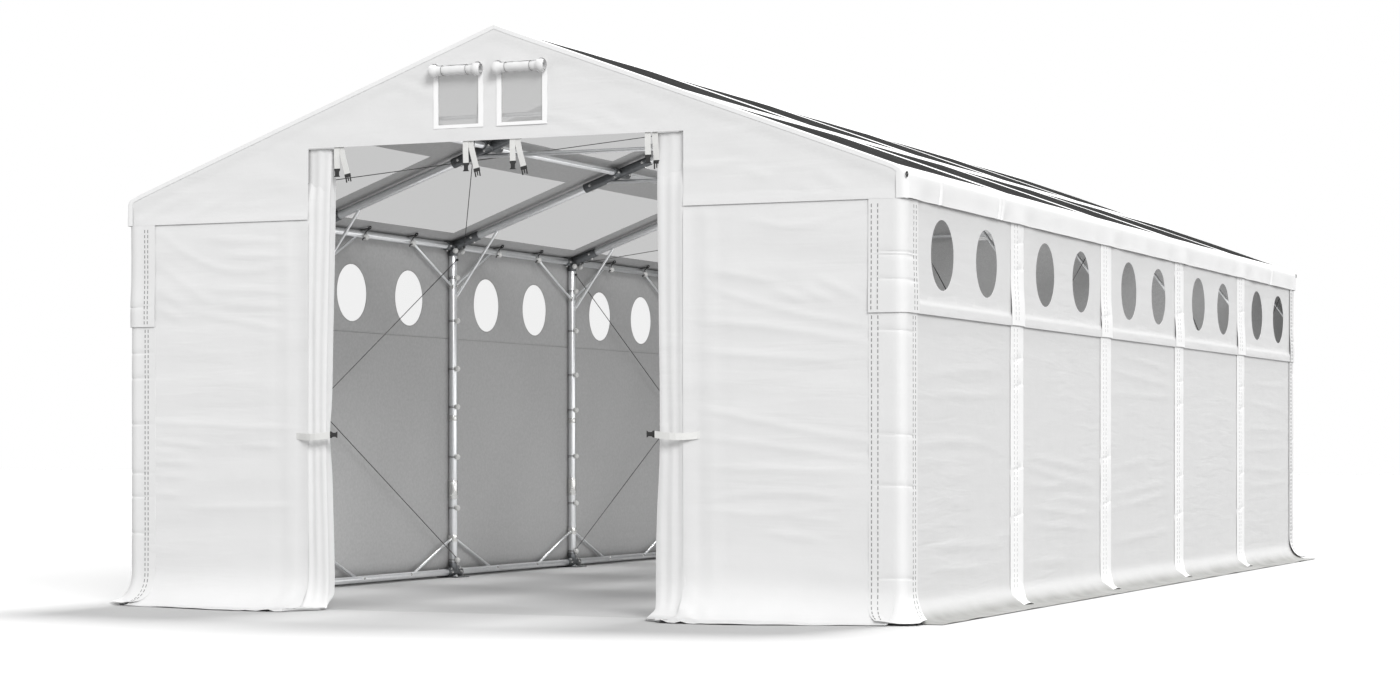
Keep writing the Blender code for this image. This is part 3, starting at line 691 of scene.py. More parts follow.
def make_looks():
    """Every material of the tent, by its short name."""
    return {
        "roof": tarpaulin("roof_tarpaulin", "#F0F0F0", "#ECECEC", wrinkled=0.002),
        "strip": tarpaulin("bright_white_tarpaulin", "#F6F6F6", "#F3F3F3", wrinkled=0.0015),
        "border": tarpaulin("welded_white_border", "#FDFDFD", "#FAFAFA", wrinkled=0.001),
        "cover": tarpaulin("white_tarpaulin", "#E8E8E8", "#E4E4E4", wrinkled=0.002),
        "wall": tarpaulin("wall_tarpaulin", "#E7E7E7", "#E4E4E4"),
        "side": tarpaulin("side_wall_tarpaulin", "#DCDCDC", "#D8D8D8"),
        # The side walls' lower cloth: painted shade darkens its hem towards the ground
        "foot": tarpaulin("hem_shaded_side_wall_tarpaulin", "#DCDCDC", "#D8D8D8",
                          painted_hem_shade=(SEAM_INSIDE_Z - HEM_SHADE_HIGH, SEAM_INSIDE_Z + HEM_SHADE_FULL, "#82827F")),
        # The cloth's inner face: the same white cloth painted darker, as painted shade for the inside
        # of the tent
        "back": tarpaulin("inner_face_shade_tarpaulin", "#B6B6B6", "#9E9E9E", 0.7, 0.003,
                          mottle=50.0),
        "window": clear_film("clear_window_film", "#303030", 0.13, 0.04),
        "skylight": clear_film("tinted_skylight_film", "#333333", 0.44, 0.0, edge_on=0.96),
        "tube": galvanised_steel("galvanised_steel_tube", "#F4F5F6", "#E4E6E8", 0.30),
        "joint": galvanised_steel("zinc_dipped_joint", "#77797B", "#5C5E60", 0.42),
        "bolt": galvanised_steel("bright_zinc_bolt", "#E4E4E2", "#C8C8C6", 0.22),
        "cable": stranded_cable("wire_rope", "#666666", "#404040"),
        "ball": moulded_plastic("white_nylon_ball", "#D6D6D4", 0.35),
        "cord": moulded_plastic("black_elastic_cord", "#2A2A2A", 0.7),
        "buckle": moulded_plastic("black_acetal_buckle", "#262626", 0.4),
        "strap": webbing("white_polyester_webbing", "#ECECEA", "#D8D8D6"),
        "net": vent_netting("grey_polyester_netting", "#CCCCCC", 0.66),
        "thread": moulded_plastic("grey_polyester_thread", "#8C8C8C", 0.8),
        "white_thread": moulded_plastic("white_polyester_thread", "#C4C4C4", 0.8),
    }


# Camera, light and floor

def make_camera():
    lens = bpy.data.cameras.new("camera")
    lens.sensor_width = SENSOR_MM
    lens.lens = FOCAL_PX / PHOTO_WIDTH * SENSOR_MM
    lens.shift_y = (HORIZON_PX - PHOTO_HEIGHT / 2) / PHOTO_WIDTH
    lens.clip_end = 200
    camera = add_object("camera", lens)
    camera.location = CAMERA_PLACE
    camera.rotation_euler = (math.radians(90), 0, CAMERA_TURN)
    bpy.context.scene.camera = camera


def add_sun(name, strength, degrees_wide, comes_from):
    light = bpy.data.lights.new(name, "SUN")
    light.energy = strength
    light.angle = math.radians(degrees_wide)
    sun = add_object(name, light)
    sun.rotation_euler = Vector(comes_from).to_track_quat("Z", "Y").to_euler()


def add_panel_light(name, watts, wide, high, spot, aims):
    """A soft rectangular light that the camera doesn't see."""
    light = bpy.data.lights.new(name, "AREA")
    light.shape = "RECTANGLE"
    light.size = wide
    light.size_y = high
    light.energy = watts
    panel = add_object(name, light)
    panel.location = spot
    panel.rotation_euler = (-Vector(aims)).to_track_quat("Z", "Y").to_euler()
    panel.visible_camera = False


def studio_floor():
    """A matt floor, white to the eye, that throws only a little light up under the folds."""
    made, tree, shader = new_material("pale_floor", "#C5C5C5", 0.9, specular=0.0)
    ray = add_node(tree, "ShaderNodeLightPath")
    tone = add_node(tree, "ShaderNodeMix", {"data_type": "RGBA"},
                    {6: linear("#8C8C8C"), 7: linear("#C5C5C5")}, {0: (ray, "Is Camera Ray")})
    tree.links.new(tone.outputs[2], shader.inputs["Base Color"])
    return made


def make_studio():
    """White surroundings, soft lights from behind, in front and within, a pale floor, and a darker
    floor inside the tent as painted shade.
    """
    world = bpy.data.worlds.new("white_studio")
    bpy.context.scene.world = world
    world.use_nodes = True
    tree = world.node_tree
    backdrop = tree.nodes["Background"]
    backdrop.inputs["Color"].default_value = (1, 1, 1, 1)
    # The backdrop is lit to full white, the sky that lights the tent is dimmer
    ray = add_node(tree, "ShaderNodeLightPath")
    seen = add_node(tree, "ShaderNodeMath", {"operation": "MAXIMUM"},
                    links={0: (ray, "Is Camera Ray"), 1: (ray, "Is Glossy Ray")})
    strength = add_node(tree, "ShaderNodeMapRange",
                        inputs={"To Min": SKY_STRENGTH, "To Max": BACKDROP_STRENGTH},
                        links={"Value": (seen, "Value")})
    tree.links.new(strength.outputs["Result"], backdrop.inputs["Strength"])
    add_sun("key_light", 3.2, 16, (0.05, 0.52, 1.0))
    add_sun("front_light", 2.0, 25, (0.60, -0.62, 0.46))
    add_panel_light("inside_light", 70, 9.0, 1.9, (2.35, 0, 1.25), (-1, 0, 0.12))
    add_panel_light("inside_fill", 45, 4.4, 9.0, (0, 0, 0.06), (0, 0, 1))
    bpy.ops.object.select_all(action="DESELECT")
    bpy.ops.mesh.primitive_plane_add(size=160)
    floor = bpy.context.object
    floor.name = "floor"
    paint(floor, studio_floor())
    floor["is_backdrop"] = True
    # Painted shade: the ground inside the tent is a darker floor, standing in for the tent's shadow
    inside = slab((-POST_X, -END_Y, -0.001), (POST_X, END_Y, 0.0006))
    inside.name = "inside_floor"
    paint(inside, new_material("painted_shade_inside_floor", "#BDBDBD", 0.9, specular=0.0)[0])
    inside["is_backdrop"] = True
    bpy.context.scene.view_settings.view_transform = "Standard"


# Cloth

def spaced(low, high, step, stops=()):
    """Values from low to high about a step apart, with every stop among them."""
    marks = sorted({round(mark, 5) for mark in (low, high, *stops)
                    if low - 1e-6 <= mark <= high + 1e-6})
    values = []
    for near, far in zip(marks, marks[1:]):
        count = max(1, round((far - near) / step))
        values += [near + (far - near) * index / count for index in range(count)]
    return values + [marks[-1]]


def nearest(values, wanted):
    return min(range(len(values)), key=lambda index: abs(values[index] - wanted))


def square_border(columns, rows, window):
    """Grid indices round the square that holds a round window, in order."""
    a, b, _, half = window
    left, right = nearest(columns, a - half), nearest(columns, a + half)
    low, high = nearest(rows, b - half), nearest(rows, b + half)
    border = [(i, low) for i in range(left, right)]
    border += [(right, j) for j in range(low, high)]
    border += [(i, high) for i in range(right, left, -1)]
    border += [(left, j) for j in range(high, low, -1)]
    return border


def flat_cut(place):
    """A new bmesh, its points' places in the flat cut, and the way to add a point to both."""
    shape = bmesh.new()
    flat = {}

    def spot(a, b):
        made = shape.verts.new(place(a, b))
        flat[made] = (a, b)
        return made

    return shape, flat, spot


def cloth(name, columns, rows, place, outward, holes=(), windows=(), cuts=(),
          looks=(), thick=CLOTH_T):
    """A sheet of cloth; place(a, b) says where the point (a, b) of the flat cut hangs.

    holes are left out as (a, a, b, b) rectangles, windows are (a, b, radius,
    half side of the square round it), and cuts are planes whose far side goes.
    """
    shape, flat, spot = flat_cut(place)
    grid = {}

    def corner(i, j):
        if (i, j) not in grid:
            grid[i, j] = spot(columns[i], rows[j])
        return grid[i, j]

    for i in range(len(columns) - 1):
        for j in range(len(rows) - 1):
            a = (columns[i] + columns[i + 1]) / 2
            b = (rows[j] + rows[j + 1]) / 2
            if any(hole[0] < a < hole[1] and hole[2] < b < hole[3] for hole in holes):
                continue
            if any(abs(a - w[0]) < w[3] and abs(b - w[1]) < w[3] for w in windows):
                continue
            shape.faces.new((corner(i, j), corner(i + 1, j), corner(i + 1, j + 1),
                             corner(i, j + 1)))
    for window in windows:
        border = square_border(columns, rows, window)
        outer = [corner(i, j) for i, j in border]
        for step in range(1, WINDOW_RINGS + 1):
            share = step / WINDOW_RINGS
            inner = []
            for i, j in border:
                da, db = columns[i] - window[0], rows[j] - window[1]
                scale = 1 + share * (window[2] / math.hypot(da, db) - 1)
                inner.append(spot(window[0] + da * scale, window[1] + db * scale))
            for index in range(len(border)):
                after = (index + 1) % len(border)
                shape.faces.new((outer[index], outer[after], inner[after], inner[index]))
            outer = inner
    for plane_spot, plane_way in cuts:
        bmesh.ops.bisect_plane(shape, geom=shape.verts[:] + shape.edges[:] + shape.faces[:],
                               plane_co=plane_spot, plane_no=plane_way, clear_outer=True)
    return finish_cloth(shape, flat, name, outward, looks, thick)


def finish_cloth(shape, flat, name, outward, looks, thick):
    """Turns a bmesh sheet into a piece: its cut as a UV map, its outside and its thickness."""
    uv = shape.loops.layers.uv.new("cut")
    for face in shape.faces:
        for loop in face.loops:
            loop[uv].uv = flat.get(loop.vert, (loop.vert.co.x + loop.vert.co.y, loop.vert.co.z))
    bmesh.ops.recalc_face_normals(shape, faces=shape.faces)
    shape.normal_update()
    if sum(face.normal.dot(Vector(outward)) * face.calc_area() for face in shape.faces) < 0:
        bmesh.ops.reverse_faces(shape, faces=shape.faces)
    piece = paint(from_shape(shape, name), *looks)
    if thick:
        apply_modifier(piece, "SOLIDIFY", thickness=thick, offset=-1, use_even_offset=False,
                       material_offset=len(looks) - 1, material_offset_rim=0)
    choose(piece)
    bpy.ops.object.shade_smooth_by_angle(angle=math.radians(42))
    return piece


def round_panes(name, centres, radius, place, outward, look):
    """Round panes of film about these centres of the flat cut."""
    shape, flat, spot = flat_cut(place)
    for a, b in centres:
        hub = spot(a, b)
        before = None
        for step in range(1, PANE_RINGS + 1):
            reach = radius * step / PANE_RINGS
            loop = [spot(a + reach * math.cos(math.tau * turn / PANE_SIDES),
                         b + reach * math.sin(math.tau * turn / PANE_SIDES))
                    for turn in range(PANE_SIDES)]
            for turn in range(PANE_SIDES):
                after = (turn + 1) % PANE_SIDES
                if before:
                    shape.faces.new((before[turn], loop[turn], loop[after], before[after]))
                else:
                    shape.faces.new((hub, loop[turn], loop[after]))
            before = loop
    return finish_cloth(shape, flat, name, outward, (look,), 0)


def ripple(a, b, seed, long_a, long_b, depth):
    """A smooth uneven swell, about long_a by long_b wide and up to depth high."""
    return depth * noise.noise(Vector((a / long_a, b / long_b, seed)))


def folded(a, z, folds):
    """Height, from 0 to 1, of the long soft folds along these lines."""
    total = 0.0
    for start_a, start_z, end_a, end_z, *rest in folds:
        sag = rest[0] if rest else 0.0
        share = (a - start_a) / (end_a - start_a)
        if -0.25 < share < 1.25:
            level = start_z + (end_z - start_z) * share - 4 * sag * max(0.0, share * (1 - share))
            fade = eased((share + 0.25) / 0.4) * eased((1.25 - share) / 0.4)
            total += fade * bump(z, level + 0.6 * FOLD_WIDTH, FOLD_WIDTH)
    return total


def bump(value, centre, width):
    """A rounded bump of height 1 round a centre."""
    return math.exp(-((value - centre) / width) ** 2)


def eased(share):
    share = min(1.0, max(0.0, share))
    return share * share * (3 - 2 * share)


def bend_length(bend):
    """Length of the curve from upright to flat, a quarter of an ellipse (height, reach)."""
    return math.pi * (bend[0] + bend[1]) / 4 * 1.012


def fall(b, top, reach, bend):
    """Where a hanging sheet is, b below its top: way out, height and outward normal."""
    upright = top - bend[0]
    if b <= upright:
        return 0.0, top - b, 1.0, 0.0
    share = (b - upright) / bend_length(bend)
    if share <= 1:
        angle = math.radians(90) * share
        way_out = math.cos(angle) / bend[1]
        way_up = math.sin(angle) / bend[0]
        length = math.hypot(way_out, way_up)
        return (bend[1] * (1 - math.cos(angle)), bend[0] * (1 - math.sin(angle)),
                way_out / length, way_up / length)
    run = (b - upright - bend_length(bend)) / lying(reach, bend)
    return bend[1] + run * (reach - bend[1]), 0.0, 0.0, 1.0


def lying(reach, bend):
    """How much of a sheet lies flat on the ground."""
    return max(0.004, reach - bend[1])


def drop_length(top, reach, bend):
    return top - bend[0] + bend_length(bend) + lying(reach, bend)


def drop_rows(top, reach, bend, stops=(), step=CLOTH_STEP):
    """Rows of a hanging sheet, closer together on the bend and the ground."""
    upright = top - bend[0]
    curved = upright + bend_length(bend)
    rows = spaced(0, upright, step, stops)
    rows += spaced(upright, curved, 0.020)[1:]
    return rows + spaced(curved, drop_length(top, reach, bend), 0.018)[1:]


def ground_wave(b, top, amount, bend):
    """A swell that shows only where the sheet nears the ground."""
    return amount * eased((b - (top - bend[0])) / bend_length(bend))


def seam_flare(height):
    """How far an overlapping panel steps out just above its lower edge."""
    return SEAM_FLARE * eased((SEAM_STEP_TOP - height) / SEAM_STEP)


def soft_flare(height, amount=SEAM_FLARE):
    """The same for a strip or cover that bridges the step below it."""
    return amount * eased((SEAM_STEP_TOP + 0.20 - height) / 0.20)


def seam_stops(bottom):
    """Rows close together where an overlapping panel that ends at this b steps out."""
    return [bottom - (SEAM_STEP_TOP - SEAM_Z) + SEAM_STEP * share / 4 for share in range(5)]


def fit(piece, nodes=()):
    """Puts a piece on the tent, in place of its solids where it has any."""
    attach(piece, "root")
    if nodes:
        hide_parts(*nodes)
    return piece


def hang(piece, nodes, flat):
    """Puts a cloth piece on the tent, in place of its solids; flat, its cut's size, is not used."""
    fit(piece, nodes)


# Stitching

def stitch_rows(name, lines, look, width=STITCH_WIDTH):
    """Rows of thread dashes; each line is (place, a, b from, b to) on a sheet."""
    shape = bmesh.new()
    for place, a, b_from, b_to in lines:
        count = int((b_to - b_from) / STITCH_PITCH)
        for index in range(count):
            b = b_from + (index + 0.5) * STITCH_PITCH
            start = Vector(place(a, b - STITCH_LENGTH / 2))
            end = Vector(place(a, b + STITCH_LENGTH / 2))
            beside = Vector(place(a + 0.004, b)) - Vector(place(a, b))
            way = (end - start).normalized()
            out = beside.cross(way).normalized()
            middle = (place_out(place, a, b) - (start + end) / 2)
            if out.dot(middle) < 0:
                out = -out
            matrix = facing((start + end) / 2 + out * (STITCH_T / 2), way, out)
            size = Matrix.Diagonal((STITCH_T, width, (end - start).length, 1))
            bmesh.ops.create_cube(shape, size=1, matrix=matrix @ size)
    return paint(from_shape(shape, name), look)


def place_out(place, a, b):
    """A point clearly outside the sheet at (a, b): away from the tent's middle line."""
    spot = Vector(place(a, b))
    return Vector((spot.x * 1.02, spot.y * 1.02, spot.z + 0.01))


# Side walls

def side_place(side, top, reach, lift, bend=SIDE_BEND):
    """How a sheet on a long side hangs: a runs along Y and b down from its top."""
    def place(a, b):
        out, height, way_out, way_up = fall(b, top, reach, bend)
        off = lift(a, b, height)
        return side * (SIDE_INNER + out + way_out * off), a, height + way_up * off
    return place


def between_posts(a):
    """0 at a post, 1 halfway to the next."""
    return abs(math.sin(math.pi * (a - FRAME_YS[0]) / BAY))


def wall_swell(a, height, seed):
    """The wall's gentle unevenness, held flat at the posts."""
    free = between_posts(a)
    swell = ripple(a, height, seed, 0.55, 0.30, 0.0022)
    return swell * (0.3 + 0.7 * free) + ripple(a, height, seed + 7, 0.16, 0.09, 0.0008)


def make_side_wall(side_name, looks):
    side = SIDES[side_name]
    columns_step = 0.06
    window_ys = [centre + way * WINDOW_OFFSET for centre in BAY_CENTRES for way in (-1, 1)]
    window_b = WALL_TOP - WINDOW_Z
    windows = [(y, window_b, WINDOW_R, WINDOW_SQUARE) for y in window_ys]
    squares = [y + way * WINDOW_SQUARE for y in window_ys for way in (-1, 1)]

    def upper_lift(a, b, height):
        return UPPER_WALL_OFF + wall_swell(a, height, 1.0) + seam_flare(height)

    def lower_lift(a, b, height):
        wave = ground_wave(b, SEAM_INSIDE_Z, 0.004 + ripple(a, 0, 3.0, 0.35, 1, 0.006),
                           SIDE_BEND)
        folds = folded(side * a, height, SIDE_FOLDS)
        return (LOWER_WALL_OFF + min(0.0, wall_swell(a, height, 2.0)) + max(0.0, wave)
                + 0.0028 * min(1.0, folds) * between_posts(a))

    upper_drop = WALL_TOP - SEAM_Z
    upper_rows = spaced(0, upper_drop, CLOTH_STEP,
                        (window_b - WINDOW_SQUARE, window_b + WINDOW_SQUARE,
                         *seam_stops(upper_drop)))
    upper = cloth(f"window_panel_{side_name}",
                  spaced(-WALL_END_Y, WALL_END_Y, columns_step, squares), upper_rows,
                  side_place(side, WALL_TOP, SIDE_SKIRT, upper_lift), (side, 0, 0),
                  windows=windows, looks=(looks["side"], looks["back"]))
    # The lower wall's cloth carries painted shade on its hem
    lower = cloth(f"lower_wall_{side_name}", spaced(-WALL_END_Y, WALL_END_Y, columns_step),
                  drop_rows(SEAM_INSIDE_Z, SIDE_SKIRT, SIDE_BEND, step=0.020),
                  side_place(side, SEAM_INSIDE_Z, SIDE_SKIRT, lower_lift), (side, 0, 0),
                  looks=(looks["foot"], looks["back"]))
    wide = 2 * WALL_END_Y
    hang(upper, [f"side_wall_{side_name}"], (wide, upper_drop))
    hang(lower, (), (wide, drop_length(SEAM_INSIDE_Z, SIDE_SKIRT, SIDE_BEND)))

    def film_lift(a, b, height):
        return upper_lift(a, b, height) - CLOTH_T - 0.0006

    pane_r = WINDOW_R + WINDOW_LAP
    film = round_panes(f"window_film_panes_{side_name}", [(y, window_b) for y in window_ys],
                       pane_r, side_place(side, WALL_TOP, SIDE_SKIRT, film_lift),
                       (side, 0, 0), looks["window"])
    hang(film, [f"window_film_{side_name}"], (2 * pane_r, 2 * pane_r * len(window_ys)))


def strip_lift(edge, creases):
    """A cover strip's stand-off: its edges on the wall, crowned over the post and creased."""
    def lift(a, height, middle):
        across = (a - middle) / STRIP_HALF
        pinch = sum(bump(height, level + 0.012 * across, 0.005)
                    * eased(0.9 + across * math.cos(9 * level)) for level in creases)
        return (edge + STRIP_CROWN * (1 - min(1.0, abs(across)) ** 2) - 0.0042 * pinch
                + ripple(a, height, middle, 0.10, 0.16, 0.0010))
    return lift


def crease_stops(top, creases, foot):
    """Rows close together where a strip or cover is creased."""
    return [top - level + off for level in creases if foot < level < top - 0.03
            for off in (-0.012, -0.0045, 0.0, 0.0045, 0.012)]


def make_post_strips(side_name, looks):
    """The strips over the inner posts, each in two lengths that overlap at the seam."""
    side = SIDES[side_name]
    top = WALL_TOP - 0.02
    lower_top = SEAM_Z + 0.03
    stitches = []
    for number, middle in enumerate(FRAME_YS[1:-1], start=2):
        creases = STRIP_CREASES[number - 2]
        upper_shape = strip_lift(UPPER_STRIP_OFF, creases)
        lower_shape = strip_lift(LOWER_STRIP_OFF, creases)

        def upper_lift(a, b, height, middle=middle, shape=upper_shape):
            return shape(a, height, middle) + soft_flare(height)

        def lower_lift(a, b, height, middle=middle, shape=lower_shape):
            wave = ground_wave(b, lower_top, 0.006 + 0.004 * math.cos(
                math.pi * (a - middle) / STRIP_HALF), STRIP_BEND)
            return shape(a, height, middle) + wave

        front_edge = middle - STRIP_HALF
        columns = spaced(front_edge, middle + STRIP_HALF, 0.035,
                         [front_edge + step for step in (0.004, 0.010, 0.020)])
        upper_place = side_place(side, top, STRIP_REACH, upper_lift, STRIP_BEND)
        straight_place = side_place(side, lower_top, STRIP_REACH, lower_lift, STRIP_BEND)
        foot_end = drop_length(lower_top, STRIP_REACH, STRIP_BEND)

        def lower_place(a, b, middle=middle, place=straight_place, foot_end=foot_end):
            """The foot of the strip is cut round on the side of the doorway."""
            forward = max(0.0, min(1.0, 0.5 - (a - middle) / (2 * STRIP_HALF)))
            cut = STRIP_CUT * (1 - (1 - forward ** 4) ** 0.25)
            return place(a, b - cut * eased((b - foot_end + 0.22) / 0.22))

        upper_drop = top - SEAM_Z - 0.004
        upper = cloth(f"post_strip_upper_{side_name}_{number}", columns,
                      spaced(0, upper_drop, CLOTH_STEP,
                             crease_stops(top, creases, SEAM_Z + 0.02)),
                      upper_place, (side, 0, 0), looks=(looks["strip"],))
        lower = cloth(f"post_strip_lower_{side_name}_{number}", columns,
                      drop_rows(lower_top, STRIP_REACH, STRIP_BEND,
                                crease_stops(lower_top, creases, STRIP_BEND[0])),
                      lower_place, (side, 0, 0), looks=(looks["strip"],))
        hang(upper, (), (2 * STRIP_HALF, upper_drop))
        hang(lower, (), (2 * STRIP_HALF, drop_length(lower_top, STRIP_REACH, STRIP_BEND)))
        for offset in STRIP_STITCHES:
            stitches.append((upper_place, middle + offset, 0.12, upper_drop - 0.01))
            stitches.append((lower_place, middle + offset, 0.04, lower_top - 0.10))
    fit(stitch_rows(f"strip_stitching_{side_name}", stitches, looks["white_thread"], 0.003))


# Corner covers

def corner_path(side, end, front_x):
    """The plan line of a corner cover: its length, and its point and normal at a."""
    centre_x = SIDE_INNER - COVER_RADIUS
    centre_y = END_INNER - COVER_RADIUS
    front_run = centre_x - front_x
    turn_run = COVER_RADIUS * math.radians(90)
    side_run = centre_y - COVER_SIDE_Y

    def at(a):
        if a <= front_run:
            return side * (front_x + a), end * END_INNER, 0.0, end
        if a <= front_run + turn_run:
            angle = (a - front_run) / COVER_RADIUS
            return (side * (centre_x + COVER_RADIUS * math.sin(angle)),
                    end * (centre_y + COVER_RADIUS * math.cos(angle)),
                    side * math.sin(angle), end * math.cos(angle))
        return side * SIDE_INNER, end * (centre_y - (a - front_run - turn_run)), side, 0.0

    stops = (front_run, front_run + turn_run / 2, front_run + turn_run)
    return front_run + turn_run + side_run, stops, at


def corner_place(at, side, end, wide, top, lift):
    """How a corner cover hangs: a runs round the corner and b down from its top.

    At its foot it kicks out towards the end of the tent and grows narrower.
    """
    def place(a, b):
        x, y, way_x, way_y = at(a)
        out, height, way_out, way_up = fall(b, top, COVER_REACH, COVER_BEND)
        kick = Vector((way_x * 0.40 + side * 0.24, way_y * 0.40 + end * 0.60)).normalized()
        off = lift(a, b, height)
        narrow = 0.050 * eased(out / COVER_REACH) * (1 - a / wide) ** 2
        return (x + kick.x * out + way_x * way_out * off + side * narrow,
                y + kick.y * out + way_y * way_out * off, height + way_up * off)
    return place


def make_corner_cover(end_name, side_name, looks):
    side = SIDES[side_name]
    end = ENDS[end_name]
    front_x, row_x, next_row_x, bulge = COVER_FRONTS[side_name]
    creases = COVER_CREASES[side_name]
    wide, stops, at = corner_path(side, end, front_x)

    def pinched(a, height):
        """Short creases where the ties pull the cover in round the corner."""
        pulled = sum(bump(height, level + 0.004 * math.sin(9 * a + level), 0.005)
                     for level in creases)
        return 0.0034 * pulled * eased(1.5 * (1 - abs(a / wide - 0.50) / 0.54))

    def upper_lift(a, b, height):
        return (UPPER_COVER_OFF - pinched(a, height) + soft_flare(height, 0.006)
                + bulge * eased((a - 0.10) / 0.08)
                + ripple(a, height, side + 5, 0.15, 0.22, 0.0015))

    def lower_lift(a, b, height):
        wave = ground_wave(b, lower_top, 0.012 + 0.006 * math.cos(math.tau * a / wide),
                           COVER_BEND)
        return (LOWER_COVER_OFF - pinched(a, height) + wave + bulge * eased((a - 0.10) / 0.08)
                + ripple(a, height, side, 0.15, 0.22, 0.0015))

    columns = spaced(0, wide, 0.022, stops)
    top = VALANCE_Z - 2 * GAP
    lower_top = SEAM_Z + 0.04
    upper_place = corner_place(at, side, end, wide, top, upper_lift)
    lower_place = corner_place(at, side, end, wide, lower_top, lower_lift)
    outward = (side, end, 0)
    drop = top - SEAM_Z
    upper = cloth(f"corner_wrap_upper_{end_name}_{side_name}", columns,
                  spaced(0, drop, 0.030, crease_stops(top, creases, SEAM_Z)),
                  upper_place, outward, looks=(looks["cover"],))
    lower = cloth(f"corner_wrap_lower_{end_name}_{side_name}", columns,
                  drop_rows(lower_top, COVER_REACH, COVER_BEND,
                            crease_stops(lower_top, creases, COVER_BEND[0]), 0.030),
                  lower_place, outward, looks=(looks["cover"],))
    hang(upper, [f"corner_cover_{end_name}_{side_name}"], (wide, drop))
    hang(lower, (), (wide, drop_length(lower_top, COVER_REACH, COVER_BEND)))
    stitches = []
    for a in (row_x - front_x, next_row_x - front_x, wide - 0.075, wide - 0.035):
        stitches.append((upper_place, a, 0.02, drop - 0.01))
        stitches.append((lower_place, a, 0.05, drop_length(lower_top, 0, COVER_BEND) - 0.05))
    fit(stitch_rows(f"corner_stitching_{end_name}_{side_name}", stitches, looks["thread"]))


# End walls and curtains

def end_reach(x, centre_reach):
    """How far an end wall lies out on the ground: little at the corners."""
    share = eased((END_WALL_X - abs(x)) / END_SKIRT_RISE)
    return END_SKIRT_CORNER + (centre_reach - END_SKIRT_CORNER) * share


def end_place(end, top, reach_at, lift):
    """How a sheet on an end hangs: a runs along X and b down from its top."""
    straight = top - END_BEND[0] + bend_length(END_BEND)

    def place(a, b):
        reach = reach_at(a)
        # b past the bend is a share of what lies on the ground there
        if b > straight:
            share = (b - straight) / lying(END_SKIRT_LEFT, END_BEND)
            b = straight + share * lying(reach, END_BEND)
        out, height, way_out, way_up = fall(b, top, reach, END_BEND)
        off = lift(a, b, height)
        return a, end * (END_INNER + out + way_out * off), height + way_up * off
    return place


def hangs_free(height):
    """0 where an end wall lies behind the gable's hem, 1 where it hangs free below."""
    return eased((2.34 - height) / 0.10)


def hang_end_wall(name, node, end_name, columns, reach_at, lift, looks):
    """Cuts an end wall, its rows those of the left front panel, and hangs it."""
    end = ENDS[end_name]
    rows = drop_rows(END_WALL_TOP, END_SKIRT_LEFT, END_BEND, step=0.018)
    wall = cloth(name, columns, rows, end_place(end, END_WALL_TOP, reach_at, lift),
                 (0, end, 0), looks=(looks["wall"], looks["back"]))
    hang(wall, [node], (columns[-1] - columns[0],
                        drop_length(END_WALL_TOP, END_SKIRT_LEFT, END_BEND)))


def make_front_wall(side_name, looks):
    side = SIDES[side_name]
    edge = DOOR_CENTRE + side * DOOR_HALF
    middle_reach = END_SKIRT_RIGHT if side > 0 else END_SKIRT_LEFT

    def lift(a, b, height):
        near_door = eased(1 - abs(a - edge) / 0.40)
        pleats = 0.0045 * near_door * math.sin(math.tau * (a - edge) / 0.15 + 0.8 * height)
        swell = ripple(a, height, 11 * side, 0.60, 0.14, 0.0050)
        folds = END_FOLD_DEPTH * folded(a, height, FRONT_FOLDS[side_name])
        down = b - (END_WALL_TOP - END_BEND[0])
        slant = math.sin(math.tau * (side * (a - edge) - 0.7 * down) / 0.13)
        wave = 0.014 * near_door * max(0.0, slant)
        wave += max(0.0, 0.003 + ripple(a, 0, side, 0.22, 1, 0.006))
        loose = hangs_free(height) * (0.0035 + pleats + swell + folds)
        near_ground = 1 if height > 0.01 else 0.5
        return (max(END_WALL_OFF, END_WALL_OFF + loose) * near_ground
                + ground_wave(b, END_WALL_TOP, wave, END_BEND))

    columns = spaced(min(side * END_WALL_X, edge), max(side * END_WALL_X, edge), 0.040)
    hang_end_wall(f"front_panel_{side_name}", f"front_wall_{side_name}", "front", columns,
                  lambda x: end_reach(x, middle_reach), lift, looks)


def make_back_wall(looks):
    def lift(a, b, height):
        swell = ripple(a, height, 21, 0.55, 0.20, 0.0045)
        swell += END_FOLD_DEPTH * folded(a, height, FRONT_FOLDS["left"] + FRONT_FOLDS["right"])
        wave = max(0.0, 0.003 + ripple(a, 0, 9, 0.25, 1, 0.006))
        return (max(END_WALL_OFF, END_WALL_OFF + hangs_free(height) * (0.0030 + swell))
                + ground_wave(b, END_WALL_TOP, wave, END_BEND))

    hang_end_wall("back_panel", "back_wall", "back", spaced(-END_WALL_X, END_WALL_X, 0.045),
                  lambda x: end_reach(x, END_SKIRT_LEFT), lift, looks)


def curtain_edge(side, height):
    """X of a curtain's inner edge: pulled back at its tie, loose at the foot."""
    top_x, tie_x, foot_x = {-1: (-1.106, -1.134, -1.113), 1: (1.024, 1.042, 0.993)}[side]
    if height > CURTAIN_TIE_Z:
        share = eased((DOOR_TOP - height) / (DOOR_TOP - CURTAIN_TIE_Z))
        return top_x + (tie_x - top_x) * share
    share = eased((CURTAIN_TIE_Z - height) / CURTAIN_TIE_Z)
    return tie_x + (foot_x - tie_x) * share


